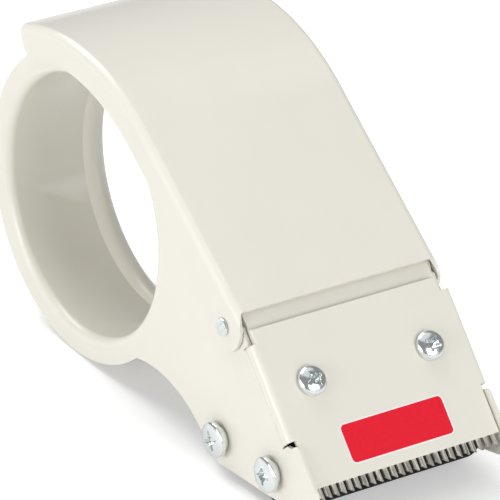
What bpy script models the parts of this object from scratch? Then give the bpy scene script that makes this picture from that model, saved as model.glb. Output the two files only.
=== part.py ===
"""Hand-held tape dispenser of pressed sheet steel, for 50 mm tape on 76 mm cores.

The frame is one pressing: a drum that the hand goes through and the tape core
slides onto, a near side plate, a web bent over at the head and a far cheek.
A sprung cover hinges at the head, and the web carries the blade above a rubber
press roller.

Three frames of reference are used. "Forward" and "up" are measured from the
drum's axis, and "across" from the outer face of the near side plate. On the
head, "along" runs down the web's slope and "rise" stands square to it, both
measured from the centre of the cover's ears. The world has +X across, the head
towards -Y and +Z up, with its origin at the bottom centre of the whole part.
"""

import bpy
import bmesh
from math import acos, asin, atan2, ceil, cos, hypot, pi, radians, sin, sqrt
from mathutils import Matrix, Vector

MM = 0.001

# Fits shared by all pieces
SHEET = 1.0 * MM            # thickness of the pressed steel
SEAT_GAP = 0.25 * MM        # between a piece and what it rests on
SIDE_GAP = 0.3 * MM         # between sheets that slide past each other
HOLE_GAP = 0.25 * MM        # between a shank or shaft and its hole
CUT_OVERRUN = 1.0 * MM      # by which a cutter passes the faces that it cuts

# Drum and rim
RIM_RADIUS = 43.5 * MM
RIM_FLANGE = 7.1 * MM       # width of the rim, outside the bore for the hand
DRUM_LENGTH = 31.4 * MM
DRUM_FILLET = 2.6 * MM      # from the rim into the bore
BEAD_LENGTH = 6.2 * MM      # stiffening bead at the drum's open end
BEAD_RISE = 0.8 * MM
BEAD_SHAPE_SHARES = ((0, 0), (0.08, 0.4), (0.2, 0.85), (0.36, 1), (0.54, 0.85), (0.72, 0.4),
                     (0.86, -0.1), (1, -0.6))  # of the bead's length and rise

# Frame
FRAME_WIDTH = 61.35 * MM    # over the two cheeks
EAR_FORWARD = 70.6 * MM     # centre of the ears and lobes round the hinge
EAR_FLOOR = 43.5 * MM       # height of that centre above the floor
PIN_DROP = 0.9 * MM         # from that centre down to the hinge pin's axis
HINGE_LOBE = 5.2 * MM       # radius of the cheeks round the hinge
REAR_AXLE_AHEAD = 0.3 * MM  # of the ears' centre
REAR_AXLE_FLOOR = 9.1 * MM  # height of the rear axle above the floor
REAR_CORNER = 7.8 * MM      # radius of the cheeks round the rear axle
FRONT_AXLE_AHEAD = 24.0 * MM
FRONT_BELLY = 7.5 * MM      # radius of the cheeks under the front axle
ARCH_RADIUS = 35.3 * MM     # hollow of the near plate behind the rear axle
ARCH_FORWARD_SHARE = 0.5712  # of the way from the drum's axis to the rear axle

# Web, bent over from the near plate at the head
WEB_SLOPE = radians(45)
WEB_RISE = 8.4 * MM         # top face above the ears' centre
WIDE_START = 8.8 * MM       # along the slope, where the web is bent to the sides
WIDE_LENGTH = 26.9 * MM
TAB_LENGTH = 3.8 * MM       # tongue of the web towards the hinge
TAB_FAR_INSET = 2.4 * MM    # from the far cheek's outer face to the tongue
TAB_LEAN = 0.4 * MM         # by which the tongue's end stands nearer the near cheek
APRON_LENGTH = 13.4 * MM    # front of the web, between the cheeks
APRON_GAP = 0.35 * MM       # between the apron and each cheek
BEND_RADIUS = 1.5 * MM      # outer radius of the web's bends
JOGGLE = 0.95 * MM          # by which the bends stand outside the cheeks
JOGGLE_DEPTH = 5.5 * MM     # from the web's top face down to the flat cheek
JOGGLE_RAMP = 3.2 * MM
SLOT_WIDTH = 0.9 * MM       # relief slots at the front of the bends
SLIT_WIDTH = 0.35 * MM      # slits at their rear
CHEEK_PROUD = 1.4 * MM      # nose cheeks above the web's top face
NOSE_CORNER = 2.0 * MM
NOSE_RADIUS = 4.5 * MM
NOSE_PAST_APRON = 1.0 * MM  # the nose's centre past the apron's front edge
CHEEK_TOP_ALONG = 3.5 * MM  # start of the cheeks' low top edge behind the bends
CHEEK_TOP_REAR = 5.5 * MM   # its rise there
CHEEK_TOP_FRONT = 5.5 * MM  # its rise at the slit
LOBE_LEAN = radians(28)     # where that edge leaves the lobe, from the web's normal

# Cover
COVER_GAP = 0.3 * MM        # between the flanges and the cheeks
EAR_RADIUS = 7.45 * MM
COVER_CLEARANCE = 2.7 * MM  # between the rim and the top of the straight's line
STRAIGHT_SHARE = 0.92       # of the way from the ears to abreast of the drum's axis
COVER_ARC_RADIUS = 63.5 * MM
COVER_ARC_TURN = radians(56.8)
COVER_FRONT = 1.3 * MM      # by which the top runs ahead of the ears' round
COVER_FOLD = 2.4 * MM       # outer radius of the folds into the flanges
FLANGE_DEPTH = 8.6 * MM
FLANGE_CORNER = 3.0 * MM
EAR_BLEND = 5.0 * MM        # length of the sweep from the flange into the ear
EAR_BLEND_TURN = radians(38)
COVER_OPENING = radians(18)  # of the hinge, until the front edge is close to the cheeks

# Inner bracket under the web
BLADE_THICKNESS = 0.7 * MM
BRACKET_FRONT = 34.0 * MM   # along the slope
BRACKET_LIP = 5.6 * MM      # radius of the rolled lip round the hinge
BRACKET_LIP_TURN = radians(50)
BRACKET_SKIRT = 4.6 * MM    # depth of the side skirts
BRACKET_LOBE = 4.6 * MM
BRACKET_JOG = 3.5 * MM      # length over which it steps down to make room for the blade
BRACKET_TAPER = 8.0 * MM    # front length over which the skirts run out
NOTCH_MARGIN = 2.2 * MM     # in the lip, on both sides of the spring

# Hinge pin and cover spring
PIN_RADIUS = 1.6 * MM
RIVET_RADIUS = 2.5 * MM
RIVET_HEIGHT = 0.9 * MM
WIRE_RADIUS = 0.5 * MM
SPRING_TURNS = 5
SPRING_PITCH = 1.5 * MM
SPRING_LEG_REAR = 24.0 * MM
SPRING_LEG_FRONT = 15.0 * MM
POINTS_PER_TURN = 10

# Blade and its fasteners
BLADE_BACK = 15.5 * MM      # along the slope
TOOTH_PITCH = 2.3 * MM
TOOTH_LENGTH = 3.2 * MM
TOOTH_WIDTH_SHARE = 0.62    # of the pitch
TOOTH_SLANT_SHARE = 0.32    # of the tooth's length, lost on its short side
BLADE_SIDE_GAP = 0.3 * MM
HEAD_SCREW_ALONG = 22.2 * MM
HEAD_SCREW_INSET = 11.9 * MM     # from the outer faces of the cheeks
HEAD_SCREW_RADIUS = 1.95 * MM
HEAD_SCREW_HEAD = 4.1 * MM
HEAD_SCREW_DOME = 2.5 * MM
HEAD_SCREW_SIDE_SHARE = 0.25    # straight part of the head's height
NUT_ACROSS_FLATS = 7.0 * MM
NUT_HEIGHT = 3.0 * MM
LOCK_WASHER_RADIUS = 3.3 * MM
LOCK_WASHER_HEIGHT = 0.9 * MM
SCREW_TIP = 1.0 * MM        # a screw's end past its nut

# Axles, their screws and the rollers
AXLE_SCREW_RADIUS = 2.4 * MM
AXLE_SCREW_HEAD = 4.85 * MM
AXLE_SCREW_DOME = 1.9 * MM
AXLE_SCREW_SIDE_SHARE = 0.45
AXLE_SCREW_REACH = 9.0 * MM     # past the cheek's outer face
AXLE_WASHER_RADIUS = 3.7 * MM
AXLE_WASHER_HEIGHT = 1.2 * MM
AXLE_RADIUS = 4.0 * MM
CROSS_WIDTH = 1.1 * MM      # of the screws' cross recesses
CROSS_REACH_SHARE = 0.78    # of the head's radius
CROSS_DEPTH_SHARE = 0.62    # of the head's height
CROSS_TAPER_SHARE = 0.35    # of the reach, left at the bottom of the recess
ROLLER_RADIUS = 11.2 * MM
ROLLER_END_GAP = 1.2 * MM
ROLLER_EDGE = 1.2 * MM
CORE_RADIUS = 7.2 * MM
CORE_BORE = 5.8 * MM
BUSH_LENGTH = 9.0 * MM
BUSH_RECESS = 0.6 * MM
GUIDE_RADIUS = 5.8 * MM
GUIDE_GROOVE = 0.7 * MM
GUIDE_RIB_PITCH = 6.2 * MM
GUIDE_RIB = 2.4 * MM
GUIDE_WASHER_RADIUS = 6.4 * MM
GUIDE_WASHER = 0.8 * MM

# Places that follow from the sizes above
DRUM_BORE = RIM_RADIUS - RIM_FLANGE
FRONT_AXLE_UP = ROLLER_RADIUS - RIM_RADIUS
REAR_AXLE_UP = REAR_AXLE_FLOOR - RIM_RADIUS
EAR_UP = EAR_FLOOR - RIM_RADIUS
REAR_AXLE_FORWARD = EAR_FORWARD + REAR_AXLE_AHEAD
FRONT_AXLE_FORWARD = EAR_FORWARD + FRONT_AXLE_AHEAD
ARCH_FORWARD = REAR_AXLE_FORWARD * ARCH_FORWARD_SHARE
HALF_WIDTH = FRAME_WIDTH / 2
APRON_FRONT = WIDE_START + WIDE_LENGTH + APRON_LENGTH
NOSE_ALONG = APRON_FRONT + NOSE_PAST_APRON
NOSE_RISE = WEB_RISE + CHEEK_PROUD - NOSE_RADIUS
BLADE_TOP = WEB_RISE - SHEET - SEAT_GAP
BRACKET_TOP = BLADE_TOP - BLADE_THICKNESS - SEAT_GAP
CHEEK_INSIDE = SHEET + SIDE_GAP
AXLE_SCREW_SEAT = SEAT_GAP + AXLE_WASHER_HEIGHT + SEAT_GAP

# Facets of the round pieces, the first on a full circle and the last on the bracket's lip
FINE = 72
ROUND = 40
SMALL = 24
BRACKET_LIP_STEPS = 6


def slope_point(along, rise):
    """Forward and up of a point given on the web's slope."""
    forward = EAR_FORWARD + along * cos(WEB_SLOPE) + rise * sin(WEB_SLOPE)
    up = EAR_UP - along * sin(WEB_SLOPE) + rise * cos(WEB_SLOPE)
    return (forward, up)


EAR = (EAR_FORWARD, EAR_UP)
PIN = (EAR_FORWARD, EAR_UP - PIN_DROP)
REAR_AXLE = (REAR_AXLE_FORWARD, REAR_AXLE_UP)
FRONT_AXLE = (FRONT_AXLE_FORWARD, FRONT_AXLE_UP)
NOSE = slope_point(NOSE_ALONG, NOSE_RISE)
FRONT_REACH = NOSE[0] + NOSE_RADIUS
CENTRE_FORWARD = (FRONT_REACH - RIM_RADIUS) / 2


def world(point, across):
    """World place of a (forward, up) point at a distance across."""
    return Vector((across - HALF_WIDTH, CENTRE_FORWARD - point[0], point[1] + RIM_RADIUS))


def polar(centre, radius, angle):
    """Point on a circle in the side view."""
    return (centre[0] + radius * cos(angle), centre[1] + radius * sin(angle))


def arc(centre, radius, start, end, steps):
    """Points along an arc, both ends included."""
    return [polar(centre, radius, start + (end - start) * i / steps) for i in range(steps + 1)]


def circle(centre, radius, segments):
    """Points round a full circle."""
    return [polar(centre, radius, 2 * pi * i / segments) for i in range(segments)]


def tangent_angle(centre_a, radius_a, centre_b, radius_b):
    """Angle of the outward normal of the line that runs anticlockwise from circle a to b."""
    across = centre_b[0] - centre_a[0]
    upward = centre_b[1] - centre_a[1]
    return atan2(upward, across) - acos((radius_a - radius_b) / hypot(across, upward))


COVER_NORMAL = tangent_angle(EAR, EAR_RADIUS, (0, 0), RIM_RADIUS + COVER_CLEARANCE)
COVER_SLOPE = pi / 2 - COVER_NORMAL
COVER_STRAIGHT = hypot(*EAR) * cos(COVER_SLOPE + atan2(EAR[1], EAR[0])) * STRAIGHT_SHARE


def sweep(start, control, end, steps):
    """Points along a smooth curve that leaves start and reaches end towards control."""
    points = []
    for i in range(steps + 1):
        t = i / steps
        points.append(tuple((1 - t) ** 2 * s + 2 * t * (1 - t) * c + t * t * e
                            for s, c, e in zip(start, control, end)))
    return points


def clear_scene():
    for item in list(bpy.data.objects):
        bpy.data.objects.remove(item)


def material(name, colour, roughness, metallic=0.0):
    made = bpy.data.materials.new(name)
    made.use_nodes = True
    shader = made.node_tree.nodes["Principled BSDF"]
    shader.inputs["Base Color"].default_value = (*colour, 1.0)
    shader.inputs["Roughness"].default_value = roughness
    shader.inputs["Metallic"].default_value = metallic
    made.diffuse_color = (*colour, 1.0)
    return made


def make_object(name, mesh, finish, smooth=30):
    """Link a mesh as an object with its own material."""
    item = bpy.data.objects.new(name, mesh)
    bpy.context.scene.collection.objects.link(item)
    mesh.materials.append(material(name, *finish))
    mesh.shade_smooth()
    mesh.set_sharp_from_angle(angle=radians(smooth))
    return item


def set_origin(item, place):
    """Move an object's origin without moving its shape."""
    item.data.transform(Matrix.Translation(-place))
    item.location = place


def outline_edges(bm, points, across):
    """Closed loop of edges through side view points."""
    verts = [bm.verts.new(world(p, across)) for p in points]
    return [bm.edges.new((verts[i - 1], verts[i])) for i in range(len(verts))]


def fill_plate(bm, edges):
    """Triangles between an outline and its holes, all in one side plane."""
    return bmesh.ops.triangle_fill(bm, use_beauty=True, edges=edges, normal=(1, 0, 0))


def point_outwards(bm, across_sign):
    """Turn a whole surface so that its faces at one side look that way."""
    bmesh.ops.recalc_face_normals(bm, faces=bm.faces)
    side = max(bm.faces, key=lambda f: across_sign * f.calc_center_median().x)
    if side.normal.x * across_sign < 0:
        bmesh.ops.reverse_faces(bm, faces=bm.faces)


def sheet_object(name, bm, finish, across_sign=-1):
    """Object of pressed sheet whose outer surface is the given mesh."""
    bmesh.ops.remove_doubles(bm, verts=bm.verts, dist=0.001 * MM)
    point_outwards(bm, across_sign)
    mesh = bpy.data.meshes.new(name)
    bm.to_mesh(mesh)
    bm.free()
    item = make_object(name, mesh, finish)
    wall = item.modifiers.new("sheet", "SOLIDIFY")
    wall.thickness = SHEET
    wall.offset = -1
    wall.use_even_offset = True
    return item


def solid_object(name, bm, finish, smooth=30):
    """Object from a closed mesh."""
    bmesh.ops.remove_doubles(bm, verts=bm.verts, dist=0.0005 * MM)
    bmesh.ops.recalc_face_normals(bm, faces=bm.faces)
    mesh = bpy.data.meshes.new(name)
    bm.to_mesh(mesh)
    bm.free()
    return make_object(name, mesh, finish, smooth)


def turned(name, profile, segments, finish):
    """Solid turned about its local Z from (radius, height) points, closed on the axis or on itself."""
    bm = bmesh.new()
    verts = [bm.verts.new((radius, 0, height)) for radius, height in profile]
    edges = [bm.edges.new((a, b)) for a, b in zip(verts, verts[1:])]
    if profile[0][0] > 0:
        edges.append(bm.edges.new((verts[-1], verts[0])))
    bmesh.ops.spin(bm, geom=verts + edges, cent=(0, 0, 0), axis=(0, 0, 1), angle=2 * pi,
                   steps=segments, use_merge=True)
    return solid_object(name, bm, finish)


def tube_profile(outer, inner, length, edge=0):
    """Closed section of a tube, with its outer edges rounded off by a bevel."""
    rounds = [(outer - edge * (1 - cos(a)), edge * (1 - sin(a))) for a in (pi / 2, pi / 4, 0)]
    if not edge:
        rounds = [(outer, 0)]
    top = [(radius, length - height) for radius, height in reversed(rounds)]
    return [(inner, 0), *rounds, *top, (inner, length)]


def dome_profile(head, dome, side_share, shank, reach, steps=5):
    """Section of a domed screw, its head's seat at height 0 and its shank below."""
    curve = [(head * cos(a), dome * (side_share + (1 - side_share) * sin(a)))
             for a in (pi / 2 * i / steps for i in range(steps + 1))]
    curve[-1] = (0, dome)
    return [(0, -reach), (shank, -reach), (shank, 0), (head, 0), *curve]


def turn_across(item, point, across, towards=1):
    """Lay a turned piece's axis across the part, its local Z pointing to +X or -X."""
    item.rotation_euler = (0, towards * pi / 2, 0)
    item.location = world(point, across)


def turn_to_web(item, along, rise, across):
    """Stand a turned piece square to the web."""
    item.rotation_euler = (WEB_SLOPE, 0, 0)
    item.location = world(slope_point(along, rise), across)


def cross_cutter(name, head, dome):
    """Tapered cross that cuts a screw's recess."""
    reach = head * CROSS_REACH_SHARE
    half = CROSS_WIDTH / 2
    bm = bmesh.new()
    rings = []
    floor = dome * (1 - CROSS_DEPTH_SHARE)
    for height, tip in ((floor, reach * CROSS_TAPER_SHARE), (dome + CUT_OVERRUN, reach)):
        arm = ((half, half), (half, tip), (-half, tip))
        rings.append([bm.verts.new(Matrix.Rotation(pi / 2 * turn, 4, "Z") @ Vector((x, y, height)))
                      for turn in range(4) for x, y in arm])
    bm.faces.new(reversed(rings[0]))
    bm.faces.new(rings[1])
    for i in range(len(rings[0])):
        bm.faces.new((rings[0][i - 1], rings[0][i], rings[1][i], rings[1][i - 1]))
    mesh = bpy.data.meshes.new(name)
    bm.to_mesh(mesh)
    bm.free()
    cutter = bpy.data.objects.new(name, mesh)
    bpy.context.scene.collection.objects.link(cutter)
    cutter.hide_render = True
    cutter.display_type = "WIRE"
    return cutter


def cut(item, cutter):
    """Subtract a cutter by a live modifier."""
    step = item.modifiers.new("cut", "BOOLEAN")
    step.operation = "DIFFERENCE"
    step.solver = "EXACT"
    step.object = cutter


def recess_screw(item, head, dome):
    """Cut a cross recess that turns and moves with its screw."""
    cutter = cross_cutter(item.name + "_recess", head, dome)
    cutter.parent = item
    cut(item, cutter)


def even_shading():
    """Shade flat faces flat beside their rounded edges."""
    for item in bpy.data.objects:
        if item.type == "MESH" and not item.hide_render:
            step = item.modifiers.new("shading", "WEIGHTED_NORMAL")
            step.keep_sharp = True


PAINT = ((0.80, 0.78, 0.70), 0.32)
ZINC = ((0.72, 0.75, 0.78), 0.25, 1.0)
STEEL = ((0.45, 0.42, 0.38), 0.35, 1.0)
RUBBER = ((0.015, 0.015, 0.016), 0.65)
NYLON = ((0.82, 0.82, 0.78), 0.45)


def belly_outline():
    """Bottom and nose of a cheek, from the rear corner to the nose's top edge."""
    bottom = tangent_angle(REAR_AXLE, REAR_CORNER, FRONT_AXLE, FRONT_BELLY)
    chin = tangent_angle(FRONT_AXLE, FRONT_BELLY, NOSE, NOSE_RADIUS)
    crown = pi / 2 - WEB_SLOPE
    points = arc(FRONT_AXLE, FRONT_BELLY, bottom, chin, 3)
    return points + arc(NOSE, NOSE_RADIUS, chin, crown, 8)


def head_outline():
    """Top of a cheek, from the nose's corner over the slots to the hinge lobe."""
    crown = pi / 2 - WEB_SLOPE
    wide_end = WIDE_START + WIDE_LENGTH
    slot_floor = WEB_RISE - JOGGLE_DEPTH
    corner = slope_point(wide_end + SLOT_WIDTH + NOSE_CORNER, WEB_RISE + CHEEK_PROUD - NOSE_CORNER)
    points = arc(corner, NOSE_CORNER, crown, crown + pi / 2, 4)
    points.append(slope_point(wide_end + SLOT_WIDTH, slot_floor))
    points.append(slope_point(wide_end, slot_floor))
    points.append(slope_point(WIDE_START, slot_floor))
    points.append(slope_point(WIDE_START - SLIT_WIDTH, slot_floor))
    points.append(slope_point(WIDE_START - SLIT_WIDTH, CHEEK_TOP_FRONT))
    points.append(slope_point(CHEEK_TOP_ALONG, CHEEK_TOP_REAR))
    return points


def near_outline():
    """Side plate with its rim, anticlockwise from the top of the rim."""
    top = tangent_angle(EAR, HINGE_LOBE, (0, 0), RIM_RADIUS)
    drop = sqrt((ARCH_RADIUS + REAR_CORNER) ** 2 - (REAR_AXLE_FORWARD - ARCH_FORWARD) ** 2)
    arch = (ARCH_FORWARD, REAR_AXLE_UP - drop)
    reach = hypot(*arch)
    share = (RIM_RADIUS ** 2 - ARCH_RADIUS ** 2 + reach ** 2) / (2 * reach)
    cusp_angle = atan2(arch[1], arch[0]) - acos(share / RIM_RADIUS)
    cusp = polar((0, 0), RIM_RADIUS, cusp_angle + 2 * acos(share / RIM_RADIUS))
    cusp_angle = atan2(cusp[1], cusp[0])
    arch_start = atan2(cusp[1] - arch[1], cusp[0] - arch[0])
    arch_end = atan2(REAR_AXLE_UP - arch[1], REAR_AXLE_FORWARD - arch[0])
    bottom = tangent_angle(REAR_AXLE, REAR_CORNER, FRONT_AXLE, FRONT_BELLY)
    rim_start = top % (2 * pi)
    points = arc((0, 0), RIM_RADIUS, rim_start, cusp_angle % (2 * pi), 52)
    points += arc(arch, ARCH_RADIUS, arch_start, arch_end, 9)[1:]
    points += arc(REAR_AXLE, REAR_CORNER, arch_end + pi, bottom % (2 * pi), 6)[1:]
    points += belly_outline()
    points += head_outline()
    crown = pi / 2 - WEB_SLOPE
    points += arc(EAR, HINGE_LOBE, crown - LOBE_LEAN, rim_start, 6)
    return points


def far_outline():
    """Far cheek, anticlockwise from behind the rear axle."""
    back = tangent_angle(EAR, HINGE_LOBE, REAR_AXLE, REAR_CORNER)
    bottom = tangent_angle(REAR_AXLE, REAR_CORNER, FRONT_AXLE, FRONT_BELLY)
    points = arc(REAR_AXLE, REAR_CORNER, back % (2 * pi), bottom % (2 * pi), 9)
    points += belly_outline()
    points += head_outline()
    crown = pi / 2 - WEB_SLOPE
    points += arc(EAR, HINGE_LOBE, crown - LOBE_LEAN, back % (2 * pi), 12)
    return points


def drum_profile():
    """(radius, across) of the drum's inner face, from the rim to the beaded end."""
    points = []
    for i in range(1, 6):
        turn = pi / 2 * i / 5
        points.append((DRUM_BORE + DRUM_FILLET * (1 - sin(turn)), DRUM_FILLET * (1 - cos(turn))))
    bead = DRUM_LENGTH - BEAD_LENGTH
    points += [(DRUM_BORE - BEAD_RISE * inward, bead + BEAD_LENGTH * length)
               for length, inward in BEAD_SHAPE_SHARES]
    return points


def bend_path():
    """(across, rise) of the outer surface, from the near cheek over the web to the far one."""
    foot = WEB_RISE - JOGGLE_DEPTH
    near = [(0, foot)]
    steps = 4
    for i in range(1, steps + 1):
        share = i / steps
        near.append((-JOGGLE * (1 - cos(pi * share)) / 2, foot + JOGGLE_RAMP * share))
    for i in range(5):
        turn = pi / 2 * i / 4
        near.append((-JOGGLE + BEND_RADIUS * (1 - cos(turn)), WEB_RISE - BEND_RADIUS * (1 - sin(turn))))
    near.append((SHEET + APRON_GAP, WEB_RISE))
    tongue_side = (FRAME_WIDTH - TAB_FAR_INSET, WEB_RISE)
    return near + [tongue_side] + [(FRAME_WIDTH - across, rise) for across, rise in reversed(near)]


def add_web(bm):
    """Bent web between the cheeks, with the tongue and the apron at its ends."""
    rows = []
    for along in (WIDE_START, WIDE_START + WIDE_LENGTH):
        rows.append([bm.verts.new(world(slope_point(along, rise), across)) for across, rise in bend_path()])
    count = len(rows[0])
    for i in range(count - 1):
        bm.faces.new((rows[0][i], rows[0][i + 1], rows[1][i + 1], rows[1][i]))
    middle = count // 2
    for row, first, step, lean in ((rows[0], middle - 2, -TAB_LENGTH, TAB_LEAN),
                                   (rows[1], middle - 1, APRON_LENGTH, 0)):
        edge = row[first:first + 3]
        shift = world(slope_point(step, 0), 0) - world(slope_point(0, 0), lean)
        ahead = [bm.verts.new(v.co + shift) for v in (edge[0], edge[-1])]
        bm.faces.new((*edge, ahead[1], ahead[0]))


def add_drum(bm, loop):
    """Drum wall drawn inwards from the plate's round hole."""
    for radius, across in drum_profile():
        made = bmesh.ops.extrude_edge_only(bm, edges=loop)["geom"]
        loop = [g for g in made if isinstance(g, bmesh.types.BMEdge)]
        centre = world((0, 0), across)
        for vert in (g for g in made if isinstance(g, bmesh.types.BMVert)):
            direction = Vector((0, vert.co.y - centre.y, vert.co.z - centre.z)).normalized()
            vert.co = centre + direction * radius


def shaft_holes(bm, across):
    """Loops for the hinge pin and the four axle screws in one cheek."""
    edges = []
    shafts = ((PIN, PIN_RADIUS), (REAR_AXLE, AXLE_SCREW_RADIUS), (FRONT_AXLE, AXLE_SCREW_RADIUS))
    for centre, radius in shafts:
        edges += outline_edges(bm, circle(centre, radius + HOLE_GAP, SMALL), across)
    return edges


def head_screw_places():
    """Distances across of the two screws in the web."""
    return (HEAD_SCREW_INSET, FRAME_WIDTH - HEAD_SCREW_INSET)


def pierce_for_head_screws(item, name):
    """Cut the two screw holes through the sheets on the slope."""
    for index, across in enumerate(head_screw_places()):
        reach = WEB_RISE
        profile = [(0, -reach), (HEAD_SCREW_RADIUS + HOLE_GAP, -reach),
                   (HEAD_SCREW_RADIUS + HOLE_GAP, CUT_OVERRUN), (0, CUT_OVERRUN)]
        cutter = turned(f"{name}_hole_{index}", profile, SMALL, ZINC)
        turn_to_web(cutter, HEAD_SCREW_ALONG, WEB_RISE, across)
        cutter.hide_render = True
        cutter.display_type = "WIRE"
        cut(item, cutter)


def build_frame():
    bm = bmesh.new()
    loop = outline_edges(bm, circle((0, 0), DRUM_BORE + DRUM_FILLET, FINE), 0)
    fill_plate(bm, outline_edges(bm, near_outline(), 0) + loop + shaft_holes(bm, 0))
    add_drum(bm, loop)
    far = outline_edges(bm, far_outline(), FRAME_WIDTH)
    fill_plate(bm, far + shaft_holes(bm, FRAME_WIDTH))
    add_web(bm)
    frame = sheet_object("frame", bm, PAINT)
    pierce_for_head_screws(frame, "frame")
    set_origin(frame, world((0, 0), 0))
    return frame


def cover_stations():
    """(point, outward angle) along the cover's top, from the hinge to the rear."""
    normal = COVER_NORMAL
    front = polar(EAR, EAR_RADIUS, normal)
    back = (front[0] - COVER_STRAIGHT * cos(COVER_SLOPE), front[1] + COVER_STRAIGHT * sin(COVER_SLOPE))
    centre = polar(back, -COVER_ARC_RADIUS, normal)
    steps = 16
    stations = [(front, normal)]
    for i in range(steps + 1):
        angle = normal + COVER_ARC_TURN * i / steps
        stations.append((polar(centre, COVER_ARC_RADIUS, angle), angle))
    return stations


def cover_section():
    """(across, depth) of the outer surface from the near flange over to the far one."""
    near_face = -COVER_GAP - SHEET
    steps = 5
    near = [(near_face + COVER_FOLD * (1 - cos(turn)), COVER_FOLD * (1 - sin(turn)))
            for turn in (pi / 2 * i / steps for i in range(steps + 1))]
    return near + [(FRAME_WIDTH - across, depth) for across, depth in reversed(near)]


def flange_outline(stations):
    """Lower edge of a flange from its rear end round the ear, without the fold line."""
    last, last_angle = stations[-1]
    rear_top = polar(last, -(FLANGE_DEPTH - FLANGE_CORNER), last_angle)
    corner_centre = polar(rear_top, FLANGE_CORNER, last_angle - pi / 2)
    points = arc(corner_centre, FLANGE_CORNER, last_angle + pi / 2, last_angle + pi, 4)
    lower = [polar(point, -FLANGE_DEPTH, angle) for point, angle in reversed(stations[1:-1])]
    points += lower[1:]
    normal = stations[0][1]
    lean = asin((FLANGE_DEPTH - EAR_RADIUS) / EAR_RADIUS)
    meet = polar(EAR, EAR_RADIUS, normal + pi / 2 + lean)
    before = polar(meet, EAR_BLEND, normal + pi / 2)
    after_angle = normal + pi / 2 + lean + EAR_BLEND_TURN
    points += sweep(before, meet, polar(EAR, EAR_RADIUS, after_angle), 4)
    fold_end = acos((EAR_RADIUS - COVER_FOLD) / EAR_RADIUS)
    points += arc(EAR, EAR_RADIUS, after_angle, normal + 2 * pi - fold_end, 12)[1:-1]
    return points


def run_ahead(depth):
    """How far the cover's front edge stands ahead of the ears' top, at a depth below it."""
    return max(COVER_FRONT, sqrt(EAR_RADIUS ** 2 - (EAR_RADIUS - depth) ** 2))


def build_cover():
    stations = cover_stations()
    section = cover_section()
    bm = bmesh.new()
    rows = [[bm.verts.new(world(polar(point, -depth, angle), across)) for across, depth in section]
            for point, angle in stations]
    ahead = (world(stations[0][0], 0) - world(stations[1][0], 0)).normalized()
    for vert, (across, depth) in zip(rows[0], section):
        vert.co += ahead * run_ahead(depth)
    for front, back in zip(rows, rows[1:]):
        for i in range(len(section) - 1):
            bm.faces.new((front[i], front[i + 1], back[i + 1], back[i]))
    for side in (0, -1):
        across = section[side][0]
        fold = [row[side] for row in rows]
        lower = [bm.verts.new(world(point, across)) for point in flange_outline(stations)]
        chain = fold + lower
        edges = [bm.edges.get((a, b)) or bm.edges.new((a, b)) for a, b in zip(chain, chain[1:])]
        edges.append(bm.edges.new((chain[-1], chain[0])))
        edges += outline_edges(bm, circle(PIN, PIN_RADIUS + HOLE_GAP, SMALL), across)
        fill_plate(bm, edges)
    cover = sheet_object("cover", bm, PAINT)
    set_origin(cover, world(PIN, HALF_WIDTH))
    return cover


def bracket_path():
    """(along, rise) of the bracket's top face, from its front to the end of the rolled lip."""
    knee = (WIDE_START, BLADE_TOP)
    knee_angle = atan2(knee[0], knee[1])
    touch = knee_angle - acos(BRACKET_LIP / hypot(*knee))
    points = [(BRACKET_FRONT, BRACKET_TOP), (BRACKET_FRONT - BRACKET_TAPER, BRACKET_TOP),
              (WIDE_START + BRACKET_JOG, BRACKET_TOP), knee]
    for i in range(BRACKET_LIP_STEPS + 1):
        angle = touch - BRACKET_LIP_TURN * i / BRACKET_LIP_STEPS
        points.append((BRACKET_LIP * sin(angle), BRACKET_LIP * cos(angle)))
    return points


def bracket_skirt(path):
    """Lower edge of a skirt, from the lip's end round the hinge to the front."""
    end_angle = atan2(path[-1][0], path[-1][1])
    lobe = [(BRACKET_LOBE * sin(a), BRACKET_LOBE * cos(a))
            for a in (end_angle - (pi - radians(40)) * i / 8 for i in range(1, 9))]
    return lobe + [(WIDE_START, BRACKET_TOP - BRACKET_SKIRT),
                   (BRACKET_FRONT - BRACKET_TAPER, BRACKET_TOP - BRACKET_SKIRT),
                   (BRACKET_FRONT, BRACKET_TOP - SHEET - SIDE_GAP)]


def build_bracket():
    path = bracket_path()
    bm = bmesh.new()
    notch = SPRING_TURNS * SPRING_PITCH / 2 + NOTCH_MARGIN
    columns = (CHEEK_INSIDE, HALF_WIDTH - notch, HALF_WIDTH + notch, FRAME_WIDTH - CHEEK_INSIDE)
    rows = [[bm.verts.new(world(slope_point(along, rise), across)) for across in columns]
            for along, rise in path]
    notch_start = len(path) - BRACKET_LIP_STEPS + 1
    for index, (a, b) in enumerate(zip(rows, rows[1:])):
        for i in range(3):
            if i != 1 or index < notch_start:
                bm.faces.new((a[i], a[i + 1], b[i + 1], b[i]))
    for side, across in ((0, columns[0]), (-1, columns[-1])):
        top = [row[side] for row in rows]
        lower = [bm.verts.new(world(slope_point(along, rise), across)) for along, rise in bracket_skirt(path)]
        chain = top + lower
        edges = [bm.edges.get((a, b)) or bm.edges.new((a, b)) for a, b in zip(chain, chain[1:])]
        edges.append(bm.edges.new((chain[-1], chain[0])))
        edges += outline_edges(bm, circle(PIN, PIN_RADIUS + HOLE_GAP, SMALL), across)
        fill_plate(bm, edges)
    bracket = sheet_object("inner_bracket", bm, PAINT)
    pierce_for_head_screws(bracket, "inner_bracket")
    set_origin(bracket, world(PIN, HALF_WIDTH))
    return bracket


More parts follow.
